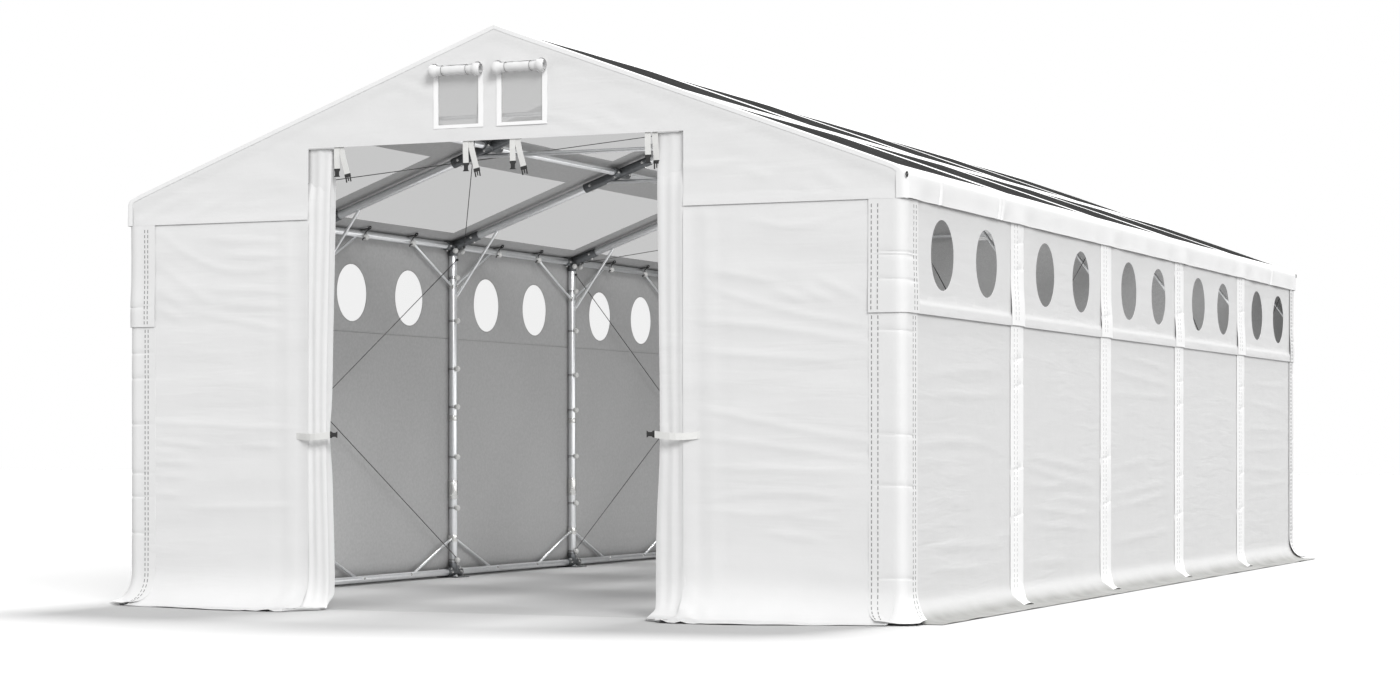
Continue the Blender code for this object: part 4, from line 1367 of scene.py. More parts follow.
def make_curtain(side_name, looks):
    """A door curtain drawn aside: its folds lie behind one another, the first one smooth."""
    side = SIDES[side_name]
    outer = DOOR_CENTRE + side * (DOOR_HALF + 0.012)
    top = DOOR_TOP - 0.004
    reach, inner_share = CURTAIN_FEET[side_name]
    # Each layer turns back in a curve, which takes this share of its width
    blunt = 0.985
    rounded = math.acos(blunt) / math.pi

    def place(a, b):
        out, height, _, way_up = fall(b, top, reach, END_BEND)
        share = a / CURTAIN_WIDE
        swing = math.acos(blunt * math.cos(math.pi * CURTAIN_LAYERS * share)) / math.pi
        swing = (swing - rounded) / (1 - 2 * rounded)
        inner = curtain_edge(side, height) + side * 0.010 * math.sin(9 * share) * share
        x = outer + (inner - outer) * swing
        first = eased(1 - share * CURTAIN_LAYERS / 1.6)
        tied = bump(height, CURTAIN_TIE_Z, 0.16)
        folds = 0.0038 * math.sin(math.tau * (2.6 * swing + 0.10 * math.sin(2 * height + side)))
        fine = (ripple(x, height, 31 * side, 0.05, 0.5, 0.004)
                + ripple(x, height, 3, 0.09, 0.07, 0.0012))
        # The layers lie one behind another, closer at the tie, and the first one hangs back
        behind = share * (0.085 - 0.025 * tied)
        hung = 0.055 * eased((height - (DOOR_TOP - 0.34)) / 0.32)
        off = END_WALL_OFF + (folds + fine) * (0.5 + 0.5 * first) - behind
        off -= hung * first + 0.010 * tied * swing * first
        spread = 1 + (inner_share - 1) * swing
        low = eased(1 - height / 0.10)
        lift = 0.004 + 0.012 * (1 - share) + 0.004 * abs(math.sin(math.tau * 2.3 * swing)) * first
        # The foot of the right curtain is drawn outwards, until close above the ground
        if side > 0:
            x += (0.43 * out * spread + 0.024 * eased(1 - height / 0.7)
                  - 0.045 * eased(1 - height / 0.06)) * swing
        return (x, -(END_INNER + out * spread + off * (1 - low)),
                max(height + way_up * max(off, 0), lift * low))

    columns = spaced(0, CURTAIN_WIDE, CURTAIN_WIDE / (CURTAIN_LAYERS * 12))
    curtain = cloth(f"door_curtain_{side_name}", columns, drop_rows(top, reach, END_BEND), place,
                    (0, -1, 0), looks=(looks["wall"],))
    hang(curtain, [f"curtain_{side_name}"],
         (CURTAIN_WIDE, drop_length(top, reach, END_BEND)))


# Gables, vents and rolled flaps

def make_gable(end_name, looks):
    end = ENDS[end_name]
    door = (DOOR_CENTRE - DOOR_HALF, DOOR_CENTRE + DOOR_HALF, 0, DOOR_TOP)
    vents = []
    for way in (-1, 1):
        x = DOOR_CENTRE + way * VENT_OFFSET
        vents.append((x - VENT_HALF, x + VENT_HALF, VENT_LOW, VENT_HIGH))
    holes = ([door] if end < 0 else []) + vents
    column_stops = [value for hole in [door, *vents] for value in hole[:2]]
    row_stops = [value for hole in [door, *vents] for value in hole[2:]]
    row_stops += [VALANCE_Z + off for off in (0.012, 0.03, 0.05)]

    def lift(x, z):
        free = eased((z - 2.38) / 0.10)
        loose = ripple(x, z, end, 0.30, 0.12, 0.0035) + ripple(x, z, 7, 0.10, 0.05, 0.0012)
        # Short deep folds run out from the vents, the doorway and the eaves
        return free * loose + 0.0040 * folded(end * -x, z, GABLE_FOLDS)

    def place(x, z):
        hem = GABLE_HEM * eased((VALANCE_Z + 0.07 - z) / 0.07) * (abs(x) < END_WALL_X + 0.02)
        # The sheet lies close behind the roof sheet's folded edge, and inside its round corners
        to_edge = (RIDGE_Z - SLOPE * abs(x) - z) * math.cos(PITCH)
        close = eased((0.09 - to_edge) / 0.05)
        loose = max(-0.0080, min(0.0050, lift(x, z))) * (1 - close)
        z += roof_rise(x) * eased((0.20 - to_edge) / 0.16)
        # The right edge is drawn in, so that it doesn't show past the roof's round corner
        if x > 0:
            x -= GABLE_DRAW * eased((x - GABLE_DRAW_X) / 0.20)
        forward = 0.0058 * close * (1 - hem / GABLE_HEM)
        return x, end * (GABLE_Y - 0.0032 + hem + loose + forward), z

    drop = SHEET_ROOM + 2 * GAP
    risen = math.atan(SLOPE + RIDGE_RISE / EAVE_X)
    cuts = [((0, 0, RIDGE_Z + RIDGE_RISE - drop / math.cos(risen)),
             (way * math.sin(risen), 0, math.cos(risen))) for way in (-1, 1)]
    gable = cloth(f"{end_name}_gable_sheet",
                  spaced(-SIDE_INNER, SIDE_INNER, 0.04, column_stops),
                  spaced(VALANCE_Z, RIDGE_Z, 0.018, row_stops), place, (0, end, 0),
                  holes=holes, cuts=cuts, looks=(looks["wall"], looks["back"]))
    borders = make_vent_borders(end_name, end, looks)
    make_vent_net(end_name, end, looks)
    for way in (-1, 1):
        make_vent_roll(end_name, end, way, looks)
    high = RIDGE_Z - VALANCE_Z
    area = (2 * SIDE_INNER * (EAVE_Z - VALANCE_Z) + SIDE_INNER * (RIDGE_Z - EAVE_Z)
            - sum((h[1] - h[0]) * (h[3] - max(h[2], VALANCE_Z)) for h in holes))
    hang(gable, [f"{end_name}_gable"], (2 * SIDE_INNER, high))


def make_vent_borders(end_name, end, looks):
    """The welded white borders of both vents."""
    pieces = []
    border = 0.031
    for way in (-1, 1):
        x = DOOR_CENTRE + way * VENT_OFFSET
        outer_low, outer_high = x - VENT_HALF - border, x + VENT_HALF + border
        pieces.append(cloth(
            "border", spaced(outer_low, outer_high, 0.03, (x - VENT_HALF, x + VENT_HALF)),
            spaced(VENT_LOW - 0.02, VENT_HIGH + 0.01, 0.03, (VENT_LOW, VENT_HIGH)),
            lambda a, b: (a, end * (GABLE_Y + 0.0018), b), (0, end, 0),
            holes=[(x - VENT_HALF, x + VENT_HALF, VENT_LOW, VENT_HIGH + 1)],
            looks=(looks["border"],), thick=0.002))
    return fit(join(f"{end_name}_vent_borders", pieces))


def make_vent_net(end_name, end, looks):
    lap = 0.012
    half = VENT_HALF + lap
    reach = VENT_OFFSET + half
    between = (DOOR_CENTRE - VENT_OFFSET + half, DOOR_CENTRE + VENT_OFFSET - half, 0, 9)
    net = cloth(f"{end_name}_vent_netting",
                spaced(DOOR_CENTRE - reach, DOOR_CENTRE + reach, 0.04, between[:2]),
                spaced(VENT_LOW - lap, VENT_HIGH + lap, 0.04),
                lambda a, b: (a, end * (GABLE_Y - 0.0066 - ripple(a, b, 4, 0.1, 0.1, 0.001)), b),
                (0, end, 0), holes=[between], looks=(looks["net"],), thick=0)
    high = VENT_HIGH - VENT_LOW + 2 * lap
    hang(net, [f"vent_mesh_{end_name}"], (2 * reach, high))


def make_vent_roll(end_name, end, way, looks):
    """A vent's flap rolled up over the opening, in a spiral with two cord ties."""
    x = DOOR_CENTRE + way * VENT_OFFSET
    centre_y = end * (GABLE_Y + ROLL_R + 0.001)
    turns = 2.2
    inner_r = 0.020
    mean_r = (inner_r + ROLL_R) / 2
    flap = mean_r * math.tau * turns

    def place(a, b):
        share = b / flap
        to_end = ROLL_HALF - abs(a - x)
        ends = eased((to_end + 0.004) / 0.016) * (1 - eased((to_end - 0.034) / 0.014))
        tied = bump(to_end, 0.085, 0.011)
        swollen = 0.84 + 0.30 * ends - 0.09 * tied
        radius = (inner_r + (ROLL_R - inner_r) * share) * swollen
        radius += ripple(a, b, 17 * way, 0.035, 0.04, 0.0022)
        angle = math.radians(100) + math.tau * turns * (1 - share)
        return (a, centre_y + end * radius * math.cos(angle), ROLL_Z + radius * math.sin(angle))

    side_name = "left" if way < 0 else "right"
    columns = spaced(x - ROLL_HALF, x + ROLL_HALF, 0.012)
    roll = cloth(f"{end_name}_vent_flap_{side_name}", columns, spaced(0, flap, 0.010), place,
                 (0, end, 0), looks=(looks["cover"],), thick=0.0009)
    ties = []
    for off in (-0.080, 0.080):
        tie = ring(0.77 * ROLL_R, 0.0016, 24)
        ties.append(placed(tie, facing((x + off, centre_y, ROLL_Z), (1, 0, 0.05))))
        discard(tie)
    cords = paint(join(f"{end_name}_vent_ties_{side_name}", ties), looks["thread"])
    fit(cords)
    hang(roll, (), (2 * ROLL_HALF, flap))


# Roof

def roof_profile(side):
    """The roof sheet's section: the point and outward normal at b down from the ridge."""
    tangent = EAVE_ROUND * math.tan((math.radians(90) - PITCH) / 2)
    straight = ROOF_LENGTH - tangent
    turn = math.radians(90) - PITCH
    arc = EAVE_ROUND * turn
    centre_x = EAVE_X - EAVE_ROUND
    centre_z = EAVE_Z - tangent

    def at(b):
        if b <= straight:
            x = GAP / 2 + b * math.cos(PITCH)
            return side * x, RIDGE_Z - SLOPE * x, side * math.sin(PITCH), math.cos(PITCH)
        if b <= straight + arc:
            angle = math.radians(90) - PITCH - (b - straight) / EAVE_ROUND
            return (side * (centre_x + EAVE_ROUND * math.cos(angle)),
                    centre_z + EAVE_ROUND * math.sin(angle),
                    side * math.cos(angle), math.sin(angle))
        return side * EAVE_X, centre_z - (b - straight - arc), side, 0.0

    full = straight + arc + centre_z - VALANCE_Z
    return at, straight, straight + arc, full


def roof_rise(x):
    """How far the sheet stands up over its rafters, most at the ridge, where they hold it taut."""
    return RIDGE_RISE * max(0.0, 1 - abs(x) / EAVE_X) ** 0.8


def roof_place(side, drop=0.0):
    """How the roof sheet lies: a runs along Y and b down from the ridge."""
    corner_round = CORNER_ROUND["right" if side > 0 else "left"]
    at, straight, hem_start, full = roof_profile(side)

    def place(a, b):
        x, z, way_x, way_z = at(b)
        off = -drop
        if b < straight:
            off += (ripple(a, b, side, 0.5, 0.35, 0.002) - 0.001) * between_posts(a)
        else:
            hem = eased((b - hem_start) / (full - hem_start))
            off += hem * (ripple(a, 0, 41 * side, 0.30, 1, 0.010) - 0.004)
            for y, bow in VALANCE_CREASES:
                bowed = y + bow * math.sin(math.pi * (b - straight) / (full - straight))
                off += -0.011 * bump(a, bowed, 0.009) + 0.006 * bump(a, bowed + 0.028, 0.014)
            for y in FRAME_YS:
                off += 0.008 * hem * (bump(a, y, 0.13) - 0.7 * bump(abs(a - y), 0.27, 0.10))
        over = abs(a) - ROOF_END_Y
        z += roof_rise(x)
        rounded = corner_round * eased((b - 0.97 * straight) / (0.05 * straight))
        inset = max(0.0, over + corner_round) if rounded else 0.0
        x -= side * rounded * (1 - math.sqrt(1 - min(1.0, inset / corner_round) ** 2))
        y = a
        if over > 0:
            # The edge is folded down over the gable; both slopes' folds meet under the ridge
            y = math.copysign(ROOF_END_Y, a)
            off = -drop - over
            way_x *= eased(b / 0.10)
        return x + way_x * off, y, z + way_z * off

    return place


def skylight_holes():
    """A slope's skylight openings, as (a, a, b, b) rectangles of its flat cut."""
    return [(centre - SKYLIGHT_HALF, centre + SKYLIGHT_HALF,
             ROOF_LENGTH * (1 - high), ROOF_LENGTH * (1 - low))
            for centre in BAY_CENTRES for low, high in SKYLIGHT_ROWS]


def make_roof(side_name, looks):
    side = SIDES[side_name]
    straight, hem_start, full = roof_profile(side)[1:]
    skylights = skylight_holes()
    steps = [-CORNER_ROUND[side_name] * share for share in CORNER_STEPS]
    ends = [way * (ROOF_END_Y + off) for way in (-1, 1)
            for off in (*steps, TRIM_DROP / 3, TRIM_DROP)]
    creases = [y + off for y, _ in VALANCE_CREASES for off in CREASE_STEPS]
    columns = spaced(-ROOF_END_Y - TRIM_DROP, ROOF_END_Y + TRIM_DROP, 0.055,
                     ends + [value for hole in skylights for value in hole[:2]] + creases)
    rows = spaced(0, straight, 0.06, [value for hole in skylights for value in hole[2:]])
    rows += spaced(straight, hem_start, 0.009)[1:] + spaced(hem_start, full, 0.02)[1:]
    sheet = cloth(f"roof_sheet_{side_name}", columns, rows, roof_place(side), (side, 0, 1),
                  holes=skylights, looks=(looks["roof"], looks["back"]))
    wide = 2 * (ROOF_END_Y + TRIM_DROP)
    hang(sheet, [f"roof_canopy_{side_name}"], (wide, full))
    make_skylights(side_name, skylights, sheet.name, looks)


def make_skylights(side_name, skylights, sheet_name, looks):
    """A slope's panes of film, welded along their edges on top of the roof sheet."""
    side = SIDES[side_name]
    lies = roof_place(side, -0.0006)
    panes = []
    for hole in skylights:
        low_a, high_a, near, far = (value + way * SKYLIGHT_LAP
                                    for value, way in zip(hole, (-1, 1, -1, 1)))

        def crowned(a, b, ends=(low_a, high_a, near, far)):
            """The film stands up a little within its edges."""
            x, y, z = lies(a, b)
            along = math.sin(math.pi * (a - ends[0]) / (ends[1] - ends[0]))
            down = math.sin(math.pi * (b - ends[2]) / (ends[3] - ends[2]))
            high = PANE_CROWN * (max(0.0, along) * max(0.0, down)) ** 0.5
            return x + side * math.sin(PITCH) * high, y, z + math.cos(PITCH) * high

        panes.append(cloth("pane", spaced(low_a, high_a, 0.08, (low_a + 0.02, high_a - 0.02)),
                           spaced(near, far, 0.08, (near + 0.02, far - 0.02)), crowned,
                           (side, 0, 1), looks=(looks["skylight"],), thick=0))
    film = join(f"skylight_panes_{side_name}", panes)
    hang(film, [f"skylight_film_{side_name}"], (2 * (ROOF_END_Y + TRIM_DROP), ROOF_LENGTH))


# Steel frame

def rafter_axis(x):
    return AXIS_RIDGE_Z - SLOPE * abs(x)


def up_rafter(side, distance):
    """X and height of the point this far up a rafter from the eave joint."""
    x = POST_X - distance * math.cos(PITCH)
    return side * x, rafter_axis(x)


def sleeve_ends(y, half):
    """Ends of a sleeve along Y, cut short outside the end frames."""
    low = y - (half if y > FRAME_YS[0] else SLEEVE_R)
    high = y + (half if y < FRAME_YS[-1] else SLEEVE_R)
    return low, high


def bay_ways(y):
    """The ways along Y in which a frame has a neighbour."""
    return [way for way, last in ((-1, FRAME_YS[0]), (1, FRAME_YS[-1])) if y != last]


def post_bolt_places(side, x, y):
    """Matrices for a post's bolts; none stands outside an end frame, where the cloth lies."""
    inward = Vector((-side, 0, 0))
    open_ways = [(0, way, 0) for way in bay_ways(y)]
    places = []
    for z in (SPLICE_LOW + 0.025, SPLICE_HIGH - 0.025):
        places += bolt_places((x, y, z), SLEEVE_R, open_ways)
    for z in (GROUND_RAIL_Z + 0.058, UPPER_BRACE_Z, RAFTER_BRACE_Z + 0.01):
        places += bolt_places((x, y, z), POST_R + 0.004, (inward, open_ways[0]))
    for way in bay_ways(y):
        places += bolt_places((x, y + way * 0.07, GROUND_RAIL_Z), SLEEVE_R,
                              (inward, (-side, 0, 1)))
    for way in (-1, 1):
        for plate_way in (-1, 1):
            places += bolt_places((x + plate_way * PLATE_BOLT, y + way * PLATE_BOLT,
                                   FOOT_PLATE_T), 0, ((0, 0, 1),))
    return places + bolt_places((x, y, CLAMP_Z), SLEEVE_R, (inward, open_ways[0]))


def make_post_shape(side, y, looks, bolt):
    """A post with its foot, sleeves, clamp, braces and bolts."""
    x = side * POST_X
    tubes = [rod((x, y, FOOT_PLATE_T), (x, y, POST_TOP - GAP), POST_R)]
    foot_low, foot_high = sleeve_ends(y, FOOT_SLEEVE)
    joints = [
        slab((x - FOOT_PLATE_HALF, y - FOOT_PLATE_HALF, 0),
             (x + FOOT_PLATE_HALF, y + FOOT_PLATE_HALF, FOOT_PLATE_T)),
        rod((x, foot_low, GROUND_RAIL_Z), (x, foot_high, GROUND_RAIL_Z), SLEEVE_R),
        rod((x, y, GROUND_RAIL_Z), (x, y, GROUND_RAIL_Z + 0.075), SLEEVE_R),
    ]
    clamps = [rod((x, y, SPLICE_LOW), (x, y, SPLICE_HIGH), SLEEVE_R - 0.0005),
              rod((x, y, CLAMP_Z - CLAMP_HALF), (x, y, CLAMP_Z + CLAMP_HALF), SLEEVE_R)]
    braces = ((CLAMP_Z, GROUND_RAIL_Z + GROUND_RAIL_R * 0.8),
              (UPPER_BRACE_Z, AXIS_EAVE_Z - EAVE_RAIL_R))
    lugs = ((CLAMP_Z, 0.020, 0.030, 0.006, 0.022), (UPPER_BRACE_Z, 0.018, 0.028, 0.005, 0.018))
    for way in bay_ways(y):
        for near_z, far_z in braces:
            tubes.append(rod((x, y + way * BRACE_START, near_z),
                             (x, y + way * KNEE_REACH, far_z), KNEE_R, THIN_SIDES))
        for z, half_x, off, half_y, half_z in lugs:
            clamps.append(slab((x - half_x, y + way * off - half_y, z - half_z),
                               (x + half_x, y + way * off + half_y, z + half_z)))
    clamps.append(rod((x, y, 1.16), (x, y, 1.20), POST_R + 0.0012))
    tubes.append(rod((x - side * BRACE_START, y, RAFTER_BRACE_Z),
                     (side * RAFTER_BRACE_X, y, rafter_axis(RAFTER_BRACE_X) - RAFTER_R),
                     KNEE_R, THIN_SIDES))
    bolts = [placed(bolt, place) for place in post_bolt_places(side, x, y)]
    steel = soften(join("post", paint_all(tubes, looks["tube"])
                        + paint_all(clamps, looks["bolt"])
                        + paint_all(joints, looks["joint"])), STEEL_EDGE)
    return join("post", [steel, *bolts])


def make_posts(looks, bolt):
    """The posts are built once for each place along the side, then copied round."""
    middle = make_post_shape(1, FRAME_YS[2], looks, bolt)
    first = {side: make_post_shape(side, FRAME_YS[0], looks, bolt) for side in (1, -1)}
    for number, y in enumerate(FRAME_YS, start=1):
        for side_name, side in SIDES.items():
            if y == FRAME_YS[0]:
                source, matrix = first[side], Matrix.Identity(4)
            elif y == FRAME_YS[-1]:
                source, matrix = first[-side], HALF_TURN
            elif side > 0:
                source, matrix = middle, Matrix.Translation((0, y - FRAME_YS[2], 0))
            else:
                source = middle
                matrix = Matrix.Translation((0, y + FRAME_YS[2], 0)) @ HALF_TURN
            name = f"steel_post_{side_name}_{number}"
            fit(placed(source, matrix, name), [f"post_{side_name}_{number}"])
    discard(middle, *first.values())


def make_truss_shape(y, looks, bolt):
    """Two rafters with their eave, mid and ridge joints and the collar tie."""
    ridge = (0, y, AXIS_RIDGE_Z)
    side_low, side_high = sleeve_ends(y, EAVE_SIDE_SLEEVE)
    ridge_reach = POST_X / math.cos(PITCH) - RIDGE_SLEEVE
    ridge_ends = []
    tubes = []
    joints = []
    places = []
    for side in SIDES.values():
        eave = (side * POST_X, y, AXIS_EAVE_Z)
        low_x, low_z = up_rafter(side, EAVE_SLEEVE)
        high_x, high_z = up_rafter(side, ridge_reach)
        ridge_ends.append((high_x, y, high_z))
        tubes.append(rod(eave, ridge, RAFTER_R))
        joints.append(pipe([(low_x, y, low_z), eave, (eave[0], y, POST_TOP)], SLEEVE_R))
        joints.append(rod((eave[0], side_low, eave[2]), (eave[0], side_high, eave[2]),
                          SIDE_SLEEVE_R))
        mid_z = rafter_axis(MID_PURLIN_X)
        joints.append(rod((side * MID_SLEEVE_LOW_X, y, rafter_axis(MID_SLEEVE_LOW_X)),
                          (side * MID_SLEEVE_HIGH_X, y, rafter_axis(MID_SLEEVE_HIGH_X)),
                          SLEEVE_R))
        joints.append(rod((side * MID_PURLIN_X, side_low, mid_z),
                          (side * MID_PURLIN_X, side_high, mid_z), SIDE_SLEEVE_R))
        for x in (MID_SLEEVE_LOW_X - 0.05, MID_SLEEVE_HIGH_X + 0.05, low_x * side + 0.05,
                  high_x * side - 0.04):
            places += bolt_places((side * x, y, rafter_axis(x)), SLEEVE_R,
                                  [(0, way, 0) for way in bay_ways(y)] + [(-side * SLOPE, 0, -1)])
        for way in bay_ways(y):
            for joint_x, joint_z in ((side * POST_X, AXIS_EAVE_Z), (side * MID_PURLIN_X, mid_z)):
                places += bolt_places((joint_x, y + way * (EAVE_SIDE_SLEEVE - 0.025), joint_z),
                                      SIDE_SLEEVE_R, ((-side, 0, 0), (0, 0, -1)))
    joints.append(pipe([ridge_ends[0], ridge, ridge_ends[1]], SLEEVE_R))
    joints.append(rod((0, side_low, AXIS_RIDGE_Z), (0, side_high, AXIS_RIDGE_Z), SIDE_SLEEVE_R))
    collar_x = (AXIS_RIDGE_Z - COLLAR_Z) / SLOPE
    tubes.append(rod((-collar_x, y, COLLAR_Z), (collar_x, y, COLLAR_Z), COLLAR_R, THIN_SIDES * 2))
    steel = soften(join("truss", paint_all(tubes, looks["tube"])
                        + paint_all(joints, looks["joint"])), STEEL_EDGE)
    return join("truss", [steel, *[placed(bolt, place) for place in places]])


def make_trusses(looks, bolt):
    middle = make_truss_shape(FRAME_YS[2], looks, bolt)
    first = make_truss_shape(FRAME_YS[0], looks, bolt)
    for number, y in enumerate(FRAME_YS, start=1):
        if y == FRAME_YS[0]:
            source, matrix = first, Matrix.Identity(4)
        elif y == FRAME_YS[-1]:
            source, matrix = first, HALF_TURN
        else:
            source, matrix = middle, Matrix.Translation((0, y - FRAME_YS[2], 0))
        fit(placed(source, matrix, f"steel_truss_{number}"),
            [f"roof_truss_{number}"])
    discard(middle, first)


def make_rail(name, node, x, z, radius, looks, bolt, thirds=()):
    """A rail from end to end, with bolts at these thirds of every bay."""
    reach = END_Y + RAIL_OVERRUN
    tube = soften(paint(rod((x, -reach, z), (x, reach, z), radius), looks["tube"]), 0.0015)
    side = math.copysign(1, x)
    places = []
    for centre in BAY_CENTRES:
        for way in thirds:
            places += bolt_places((x, centre + way * BAY / 6, z), radius - 0.001,
                                  ((-side, 0, 0.3),))
    heads = [placed(bolt, place) for place in places]
    fit(join(name, [tube, *heads]), [node])


def make_rails(looks, bolt):
    for side_name, side in SIDES.items():
        make_rail(f"eave_tube_{side_name}", f"eave_rail_{side_name}", side * POST_X,
                  AXIS_EAVE_Z, EAVE_RAIL_R, looks, bolt)
        make_rail(f"ground_tube_{side_name}", f"ground_rail_{side_name}", side * POST_X,
                  GROUND_RAIL_Z, GROUND_RAIL_R, looks, bolt, (-1, 1))
        make_rail(f"purlin_tube_{side_name}", f"purlin_{side_name}", side * MID_PURLIN_X,
                  rafter_axis(MID_PURLIN_X), PURLIN_R, looks, bolt)
    make_rail("ridge_tube", "ridge_purlin", 0.0, AXIS_RIDGE_Z, PURLIN_R, looks, bolt)


def dress_cables(looks):
    """The wire ropes keep their solids and get their own finish."""
    for name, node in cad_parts.items():
        if "cables" in name:
            for slot in node.material_slots:
                slot.material = looks["cable"]


# Ball ties

def ball_shape(looks):
    """A ball with the small hole that its cord leaves by."""
    bpy.ops.object.select_all(action="DESELECT")
    bpy.ops.mesh.primitive_uv_sphere_add(segments=16, ring_count=10, radius=BALL_R)
    ball = bpy.context.object
    bpy.ops.object.mode_set(mode="EDIT")
    bpy.ops.mesh.select_mode(type="VERT")
    bpy.ops.mesh.select_all(action="DESELECT")
    shape = bmesh.from_edit_mesh(ball.data)
    for vertex in shape.verts:
        vertex.select = vertex.co.z > 0.97 * BALL_R
    bmesh.update_edit_mesh(ball.data)
    bpy.ops.transform.translate(value=(0, 0, -0.005))
    bpy.ops.object.mode_set(mode="OBJECT")
    choose(ball)
    bpy.ops.object.shade_smooth()
    return paint(ball, looks["ball"])


def make_post_ties(looks, ball):
    """The elastic ties that hold the wall to each post."""
    loop = paint(ring(POST_R + BAND_R, BAND_R, 18, 5), looks["cord"])
    choose(loop)
    bpy.ops.object.shade_smooth()
    for number, y in enumerate(FRAME_YS, start=1):
        for side_name, side in SIDES.items():
            x = side * POST_X
            to_ball = Vector((-side * 0.95, -0.30, 0)).normalized()
            parts = []
            for z in BALL_HEIGHTS:
                spot = Vector((x, y, z)) + to_ball * (POST_R + BALL_R * 0.8)
                parts.append(placed(ball, facing(spot, to_ball + Vector((0, 0, -0.3)))))
                for off in (-0.005, 0.005):
                    parts.append(placed(loop, facing((x, y, z + off), (-to_ball.x * 0.06, 0, 1))))
            fit(join(f"wall_ties_{side_name}_{number}", parts))
    discard(loop)


def rail_tie_parts(looks, ball, side, y):
    """One tie from an eyelet in the roof sheet, round the eave rail, to its ball."""
    x = side * POST_X
    z = AXIS_EAVE_Z
    r = EAVE_RAIL_R
    eyelet_x = POST_X - 0.052
    eyelet = Vector((side * eyelet_x, y + 0.02, rafter_axis(eyelet_x) + SLEEVE_R - 0.010))
    spot = Vector((x - side * (r + BALL_R * 0.6), y, z - 0.022))
    front = Vector((x - side * (r + 0.004), y + 0.004, z + 0.012))
    parts = [placed(ball, facing(spot, (-side, -0.3, -0.3)))]
    cords = [
        pipe([spot, front, eyelet], CORD_R, CORD_SIDES, (0, 1, 0.1)),
        pipe([eyelet, (x - side * 0.010, y - 0.02, z + r + 0.003),
              (x + side * (r * 0.7), y - 0.03, z + r * 0.75)], CORD_R, CORD_SIDES, (0, 1, 0.1)),
        pipe([spot + Vector((0, -0.010, -0.006)), spot + Vector((0, -0.045, -0.008)),
              spot + Vector((0, -0.055, -0.024))], CORD_R, CORD_SIDES, (1, 0, 0.1)),
    ]
    loop = ring(0.014, CORD_R, 14)
    cords.append(placed(loop, facing(eyelet, (side * SLOPE, -1.2, 1))))
    discard(loop)
    return parts + paint_all(cords, looks["cord"])


def make_rail_ties(looks, ball):
    """Ties at each third of a bay, and a pair beside every post."""
    middle_bay = {}
    for side_name, side in SIDES.items():
        parts = rail_tie_parts(looks, ball, side, 0.0)
        middle_bay[side_name] = join(f"rail_tie_{side_name}", parts)
        choose(middle_bay[side_name])
        bpy.ops.object.shade_smooth_by_angle(angle=math.radians(50))
    for side_name, side in SIDES.items():
        copies = []
        for centre in BAY_CENTRES:
            for off in (-BAY / 6, BAY / 6):
                copies.append(placed(middle_bay[side_name], Matrix.Translation((0, centre + off, 0))))
        for y in FRAME_YS:
            for off in (-0.045, 0.060):
                if abs(y + off) < END_Y:
                    spot = Vector((side * (POST_X - 0.045), y + off, AXIS_EAVE_Z - 0.035))
                    copies.append(placed(ball, facing(spot, (-side, 0, -0.3))))
        fit(join(f"rail_ties_{side_name}", copies))
        discard(middle_bay[side_name])


# Straps and buckles

def strap_run(points, width, across):
    """A flat strap through points; across is the way of its width."""
    shape = bmesh.new()
    across = Vector(across).normalized()
    spots = [Vector(point) for point in points]
    rings = []
    for index, spot in enumerate(spots):
        way = (spots[min(index + 1, len(spots) - 1)] - spots[max(index - 1, 0)]).normalized()
        out = way.cross(across).normalized()
        corners = [spot + across * width / 2 * a + out * STRAP_T / 2 * b
                   for a, b in ((-1, -1), (1, -1), (1, 1), (-1, 1))]
        rings.append([shape.verts.new(corner) for corner in corners])
    for near, far in zip(rings, rings[1:]):
        for index in range(4):
            after = (index + 1) % 4
            shape.faces.new((near[index], near[after], far[after], far[index]))
    shape.faces.new(rings[0])
    shape.faces.new(rings[-1])
    bmesh.ops.recalc_face_normals(shape, faces=shape.faces)
    return from_shape(shape, "strap")


def buckle_socket(looks):
    """The female half: a flat box with a pinched waist, its mouth down, at the origin."""
    body = slab((-0.020, -0.0045, -0.040), (0.020, 0.0045, 0.0))
    choose(body)
    bpy.ops.object.mode_set(mode="EDIT")
    bpy.ops.mesh.select_all(action="SELECT")
    bpy.ops.mesh.subdivide(number_cuts=3)
    shape = bmesh.from_edit_mesh(body.data)
    for vertex in shape.verts:
        if -0.032 < vertex.co.z < -0.008:
            vertex.co.x *= 0.62
    bmesh.update_edit_mesh(body.data)
    bpy.ops.object.mode_set(mode="OBJECT")
    bar = slab((-0.020, -0.003, -0.001), (0.020, 0.003, 0.009))
    return soften(paint(join("socket", [body, bar]), looks["buckle"]), 0.0015)


def buckle_plug(looks):
    """The male half: a cross bar with three prongs that point down, at the origin."""
    bars = [slab((-0.020, -0.0035, -0.012), (0.020, 0.0035, 0.008))]
    for x, half, low in ((-0.0145, 0.0035, -0.042), (0, 0.0030, -0.036), (0.0145, 0.0035, -0.042)):
        bars.append(slab((x - half, -0.0030, low), (x + half, 0.0030, -0.011)))
    return soften(paint(join("plug", bars), looks["buckle"]), 0.0012)


def make_door_straps(looks):
    socket = buckle_socket(looks)
    plug = buckle_plug(looks)
    make_hanging_straps(looks, socket, plug)
    make_tie_straps(looks, socket)
    discard(socket, plug)


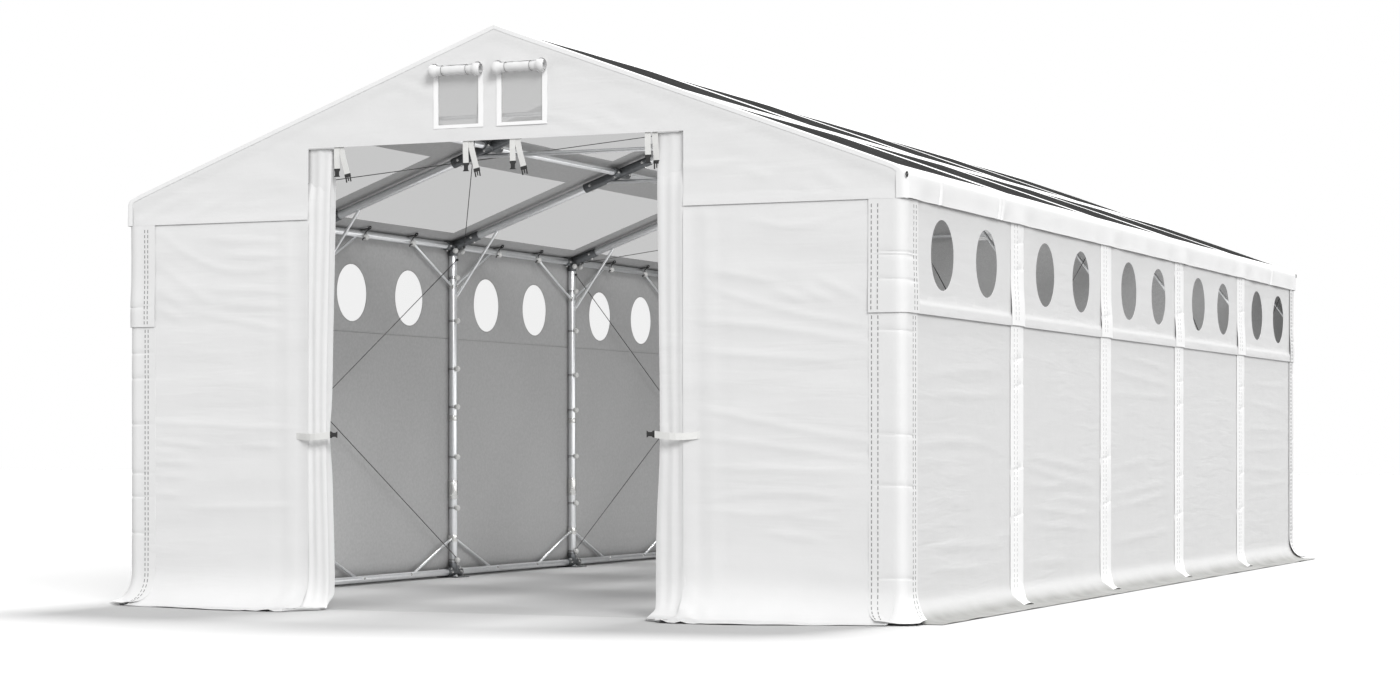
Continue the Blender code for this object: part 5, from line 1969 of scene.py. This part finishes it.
def make_hanging_straps(looks, socket, plug):
    """Pairs of loose straps under the lintel, for the rolled curtains."""
    y = -(GABLE_Y - SHEET_ROOM - 0.004)
    # X of each pair, and how far aside its slanted strap hangs
    pairs = ((-1.045, 0.040), (-0.180, 0.040), (0.126, 0.040), (0.984, 0.004))
    for number, (x, aside) in enumerate(pairs, start=1):
        straight = (x - 0.008, y, DOOR_TOP - 0.135)
        slanted = (x + 0.012 + aside + 0.020 * (aside < 0.01), y + 0.02, DOOR_TOP - 0.165)
        parts = []
        for half, end_spot, start_x, lean in ((socket, straight, x - 0.012, 0.0),
                                              (plug, slanted, slanted[0] - aside, 7.5 * aside)):
            start = (start_x, y + 0.004, DOOR_TOP + 0.02)
            middle = ((start[0] + end_spot[0]) / 2, (start[1] + end_spot[1]) / 2 - 0.004,
                      (start[2] + end_spot[2]) / 2)
            across = (math.cos(lean), 0, math.sin(lean))
            parts.append(paint(strap_run([start, middle, end_spot], STRAP_WIDE, across),
                               looks["strap"]))
            turn = Matrix.Rotation(-lean * 0.7, 4, "Y")
            parts.append(placed(half, Matrix.Translation(end_spot) @ turn))
        fit(join(f"door_straps_{number}", parts))


def make_tie_straps(looks, socket):
    """The straps round the drawn curtains, each with half a buckle at its end."""
    tie_z = 1.035
    steps = 8
    for side_name, outer_x, buckle_x in (("left", -1.345, -1.062), ("right", 1.314, 1.031)):
        points = []
        for step in range(steps + 1):
            share = step / steps
            swell = 0.012 * math.sin(math.pi * share)
            forward = 0.052 * eased(share * 1.6) + swell
            points.append((outer_x + (buckle_x - outer_x) * share, -(END_INNER + forward),
                           tie_z - swell + 0.004 * share))
        strap = paint(strap_run(points, TIE_STRAP_WIDE, (0, 0, 1)), looks["strap"])
        apply_modifier(strap, "BEVEL", width=0.0004, segments=1, limit_method="ANGLE")
        turn = Matrix.Rotation(math.radians(90) * SIDES[side_name], 4, "Y")
        lock = placed(socket, Matrix.Translation(Vector(points[-1])) @ turn)
        fit(join(f"tie_strap_{side_name}", [strap, lock]))


def make_eyelets(looks):
    """Dark cord loops through the valance near the corners."""
    parts = []
    for side in SIDES.values():
        # How the loops on this side are turned, and how far past the end frame they stand
        way_y, past = (0.7, 0.047) if side > 0 else (0.0, -0.060)
        for end in ENDS.values():
            spot = (side * (EAVE_X - 0.14 * past), end * (END_Y + past), EAVE_Z - 0.028)
            loop = ring(0.008, 0.004, 12)
            matrix = facing(spot, (side, way_y * end, 0)) @ Matrix.Diagonal((0.7, 1.5, 1, 1))
            parts.append(paint(placed(loop, matrix), looks["cord"]))
            discard(loop)
    fit(join("valance_loops", parts))


def write_size():
    """The solids' box and the dressed model's, worked out and not written anywhere."""
    boxes = {"cad": CAD_BOX, "visual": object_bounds()}
    plain = {name: [list(corner) for corner in box] for name, box in boxes.items()}


def main():
    make_camera()
    make_studio()
    looks = make_looks()
    bolt = paint(bolt_shape(), looks["bolt"])
    ball = ball_shape(looks)
    make_posts(looks, bolt)
    make_trusses(looks, bolt)
    make_rails(looks, bolt)
    dress_cables(looks)
    make_post_ties(looks, ball)
    make_rail_ties(looks, ball)
    for side_name in SIDES:
        make_side_wall(side_name, looks)
        make_post_strips(side_name, looks)
        make_front_wall(side_name, looks)
        make_curtain(side_name, looks)
        make_roof(side_name, looks)
        for end_name in ENDS:
            make_corner_cover(end_name, side_name, looks)
    for end_name in ENDS:
        make_gable(end_name, looks)
    make_back_wall(looks)
    make_door_straps(looks)
    make_eyelets(looks)
    discard(bolt, ball)
    write_size()


main()
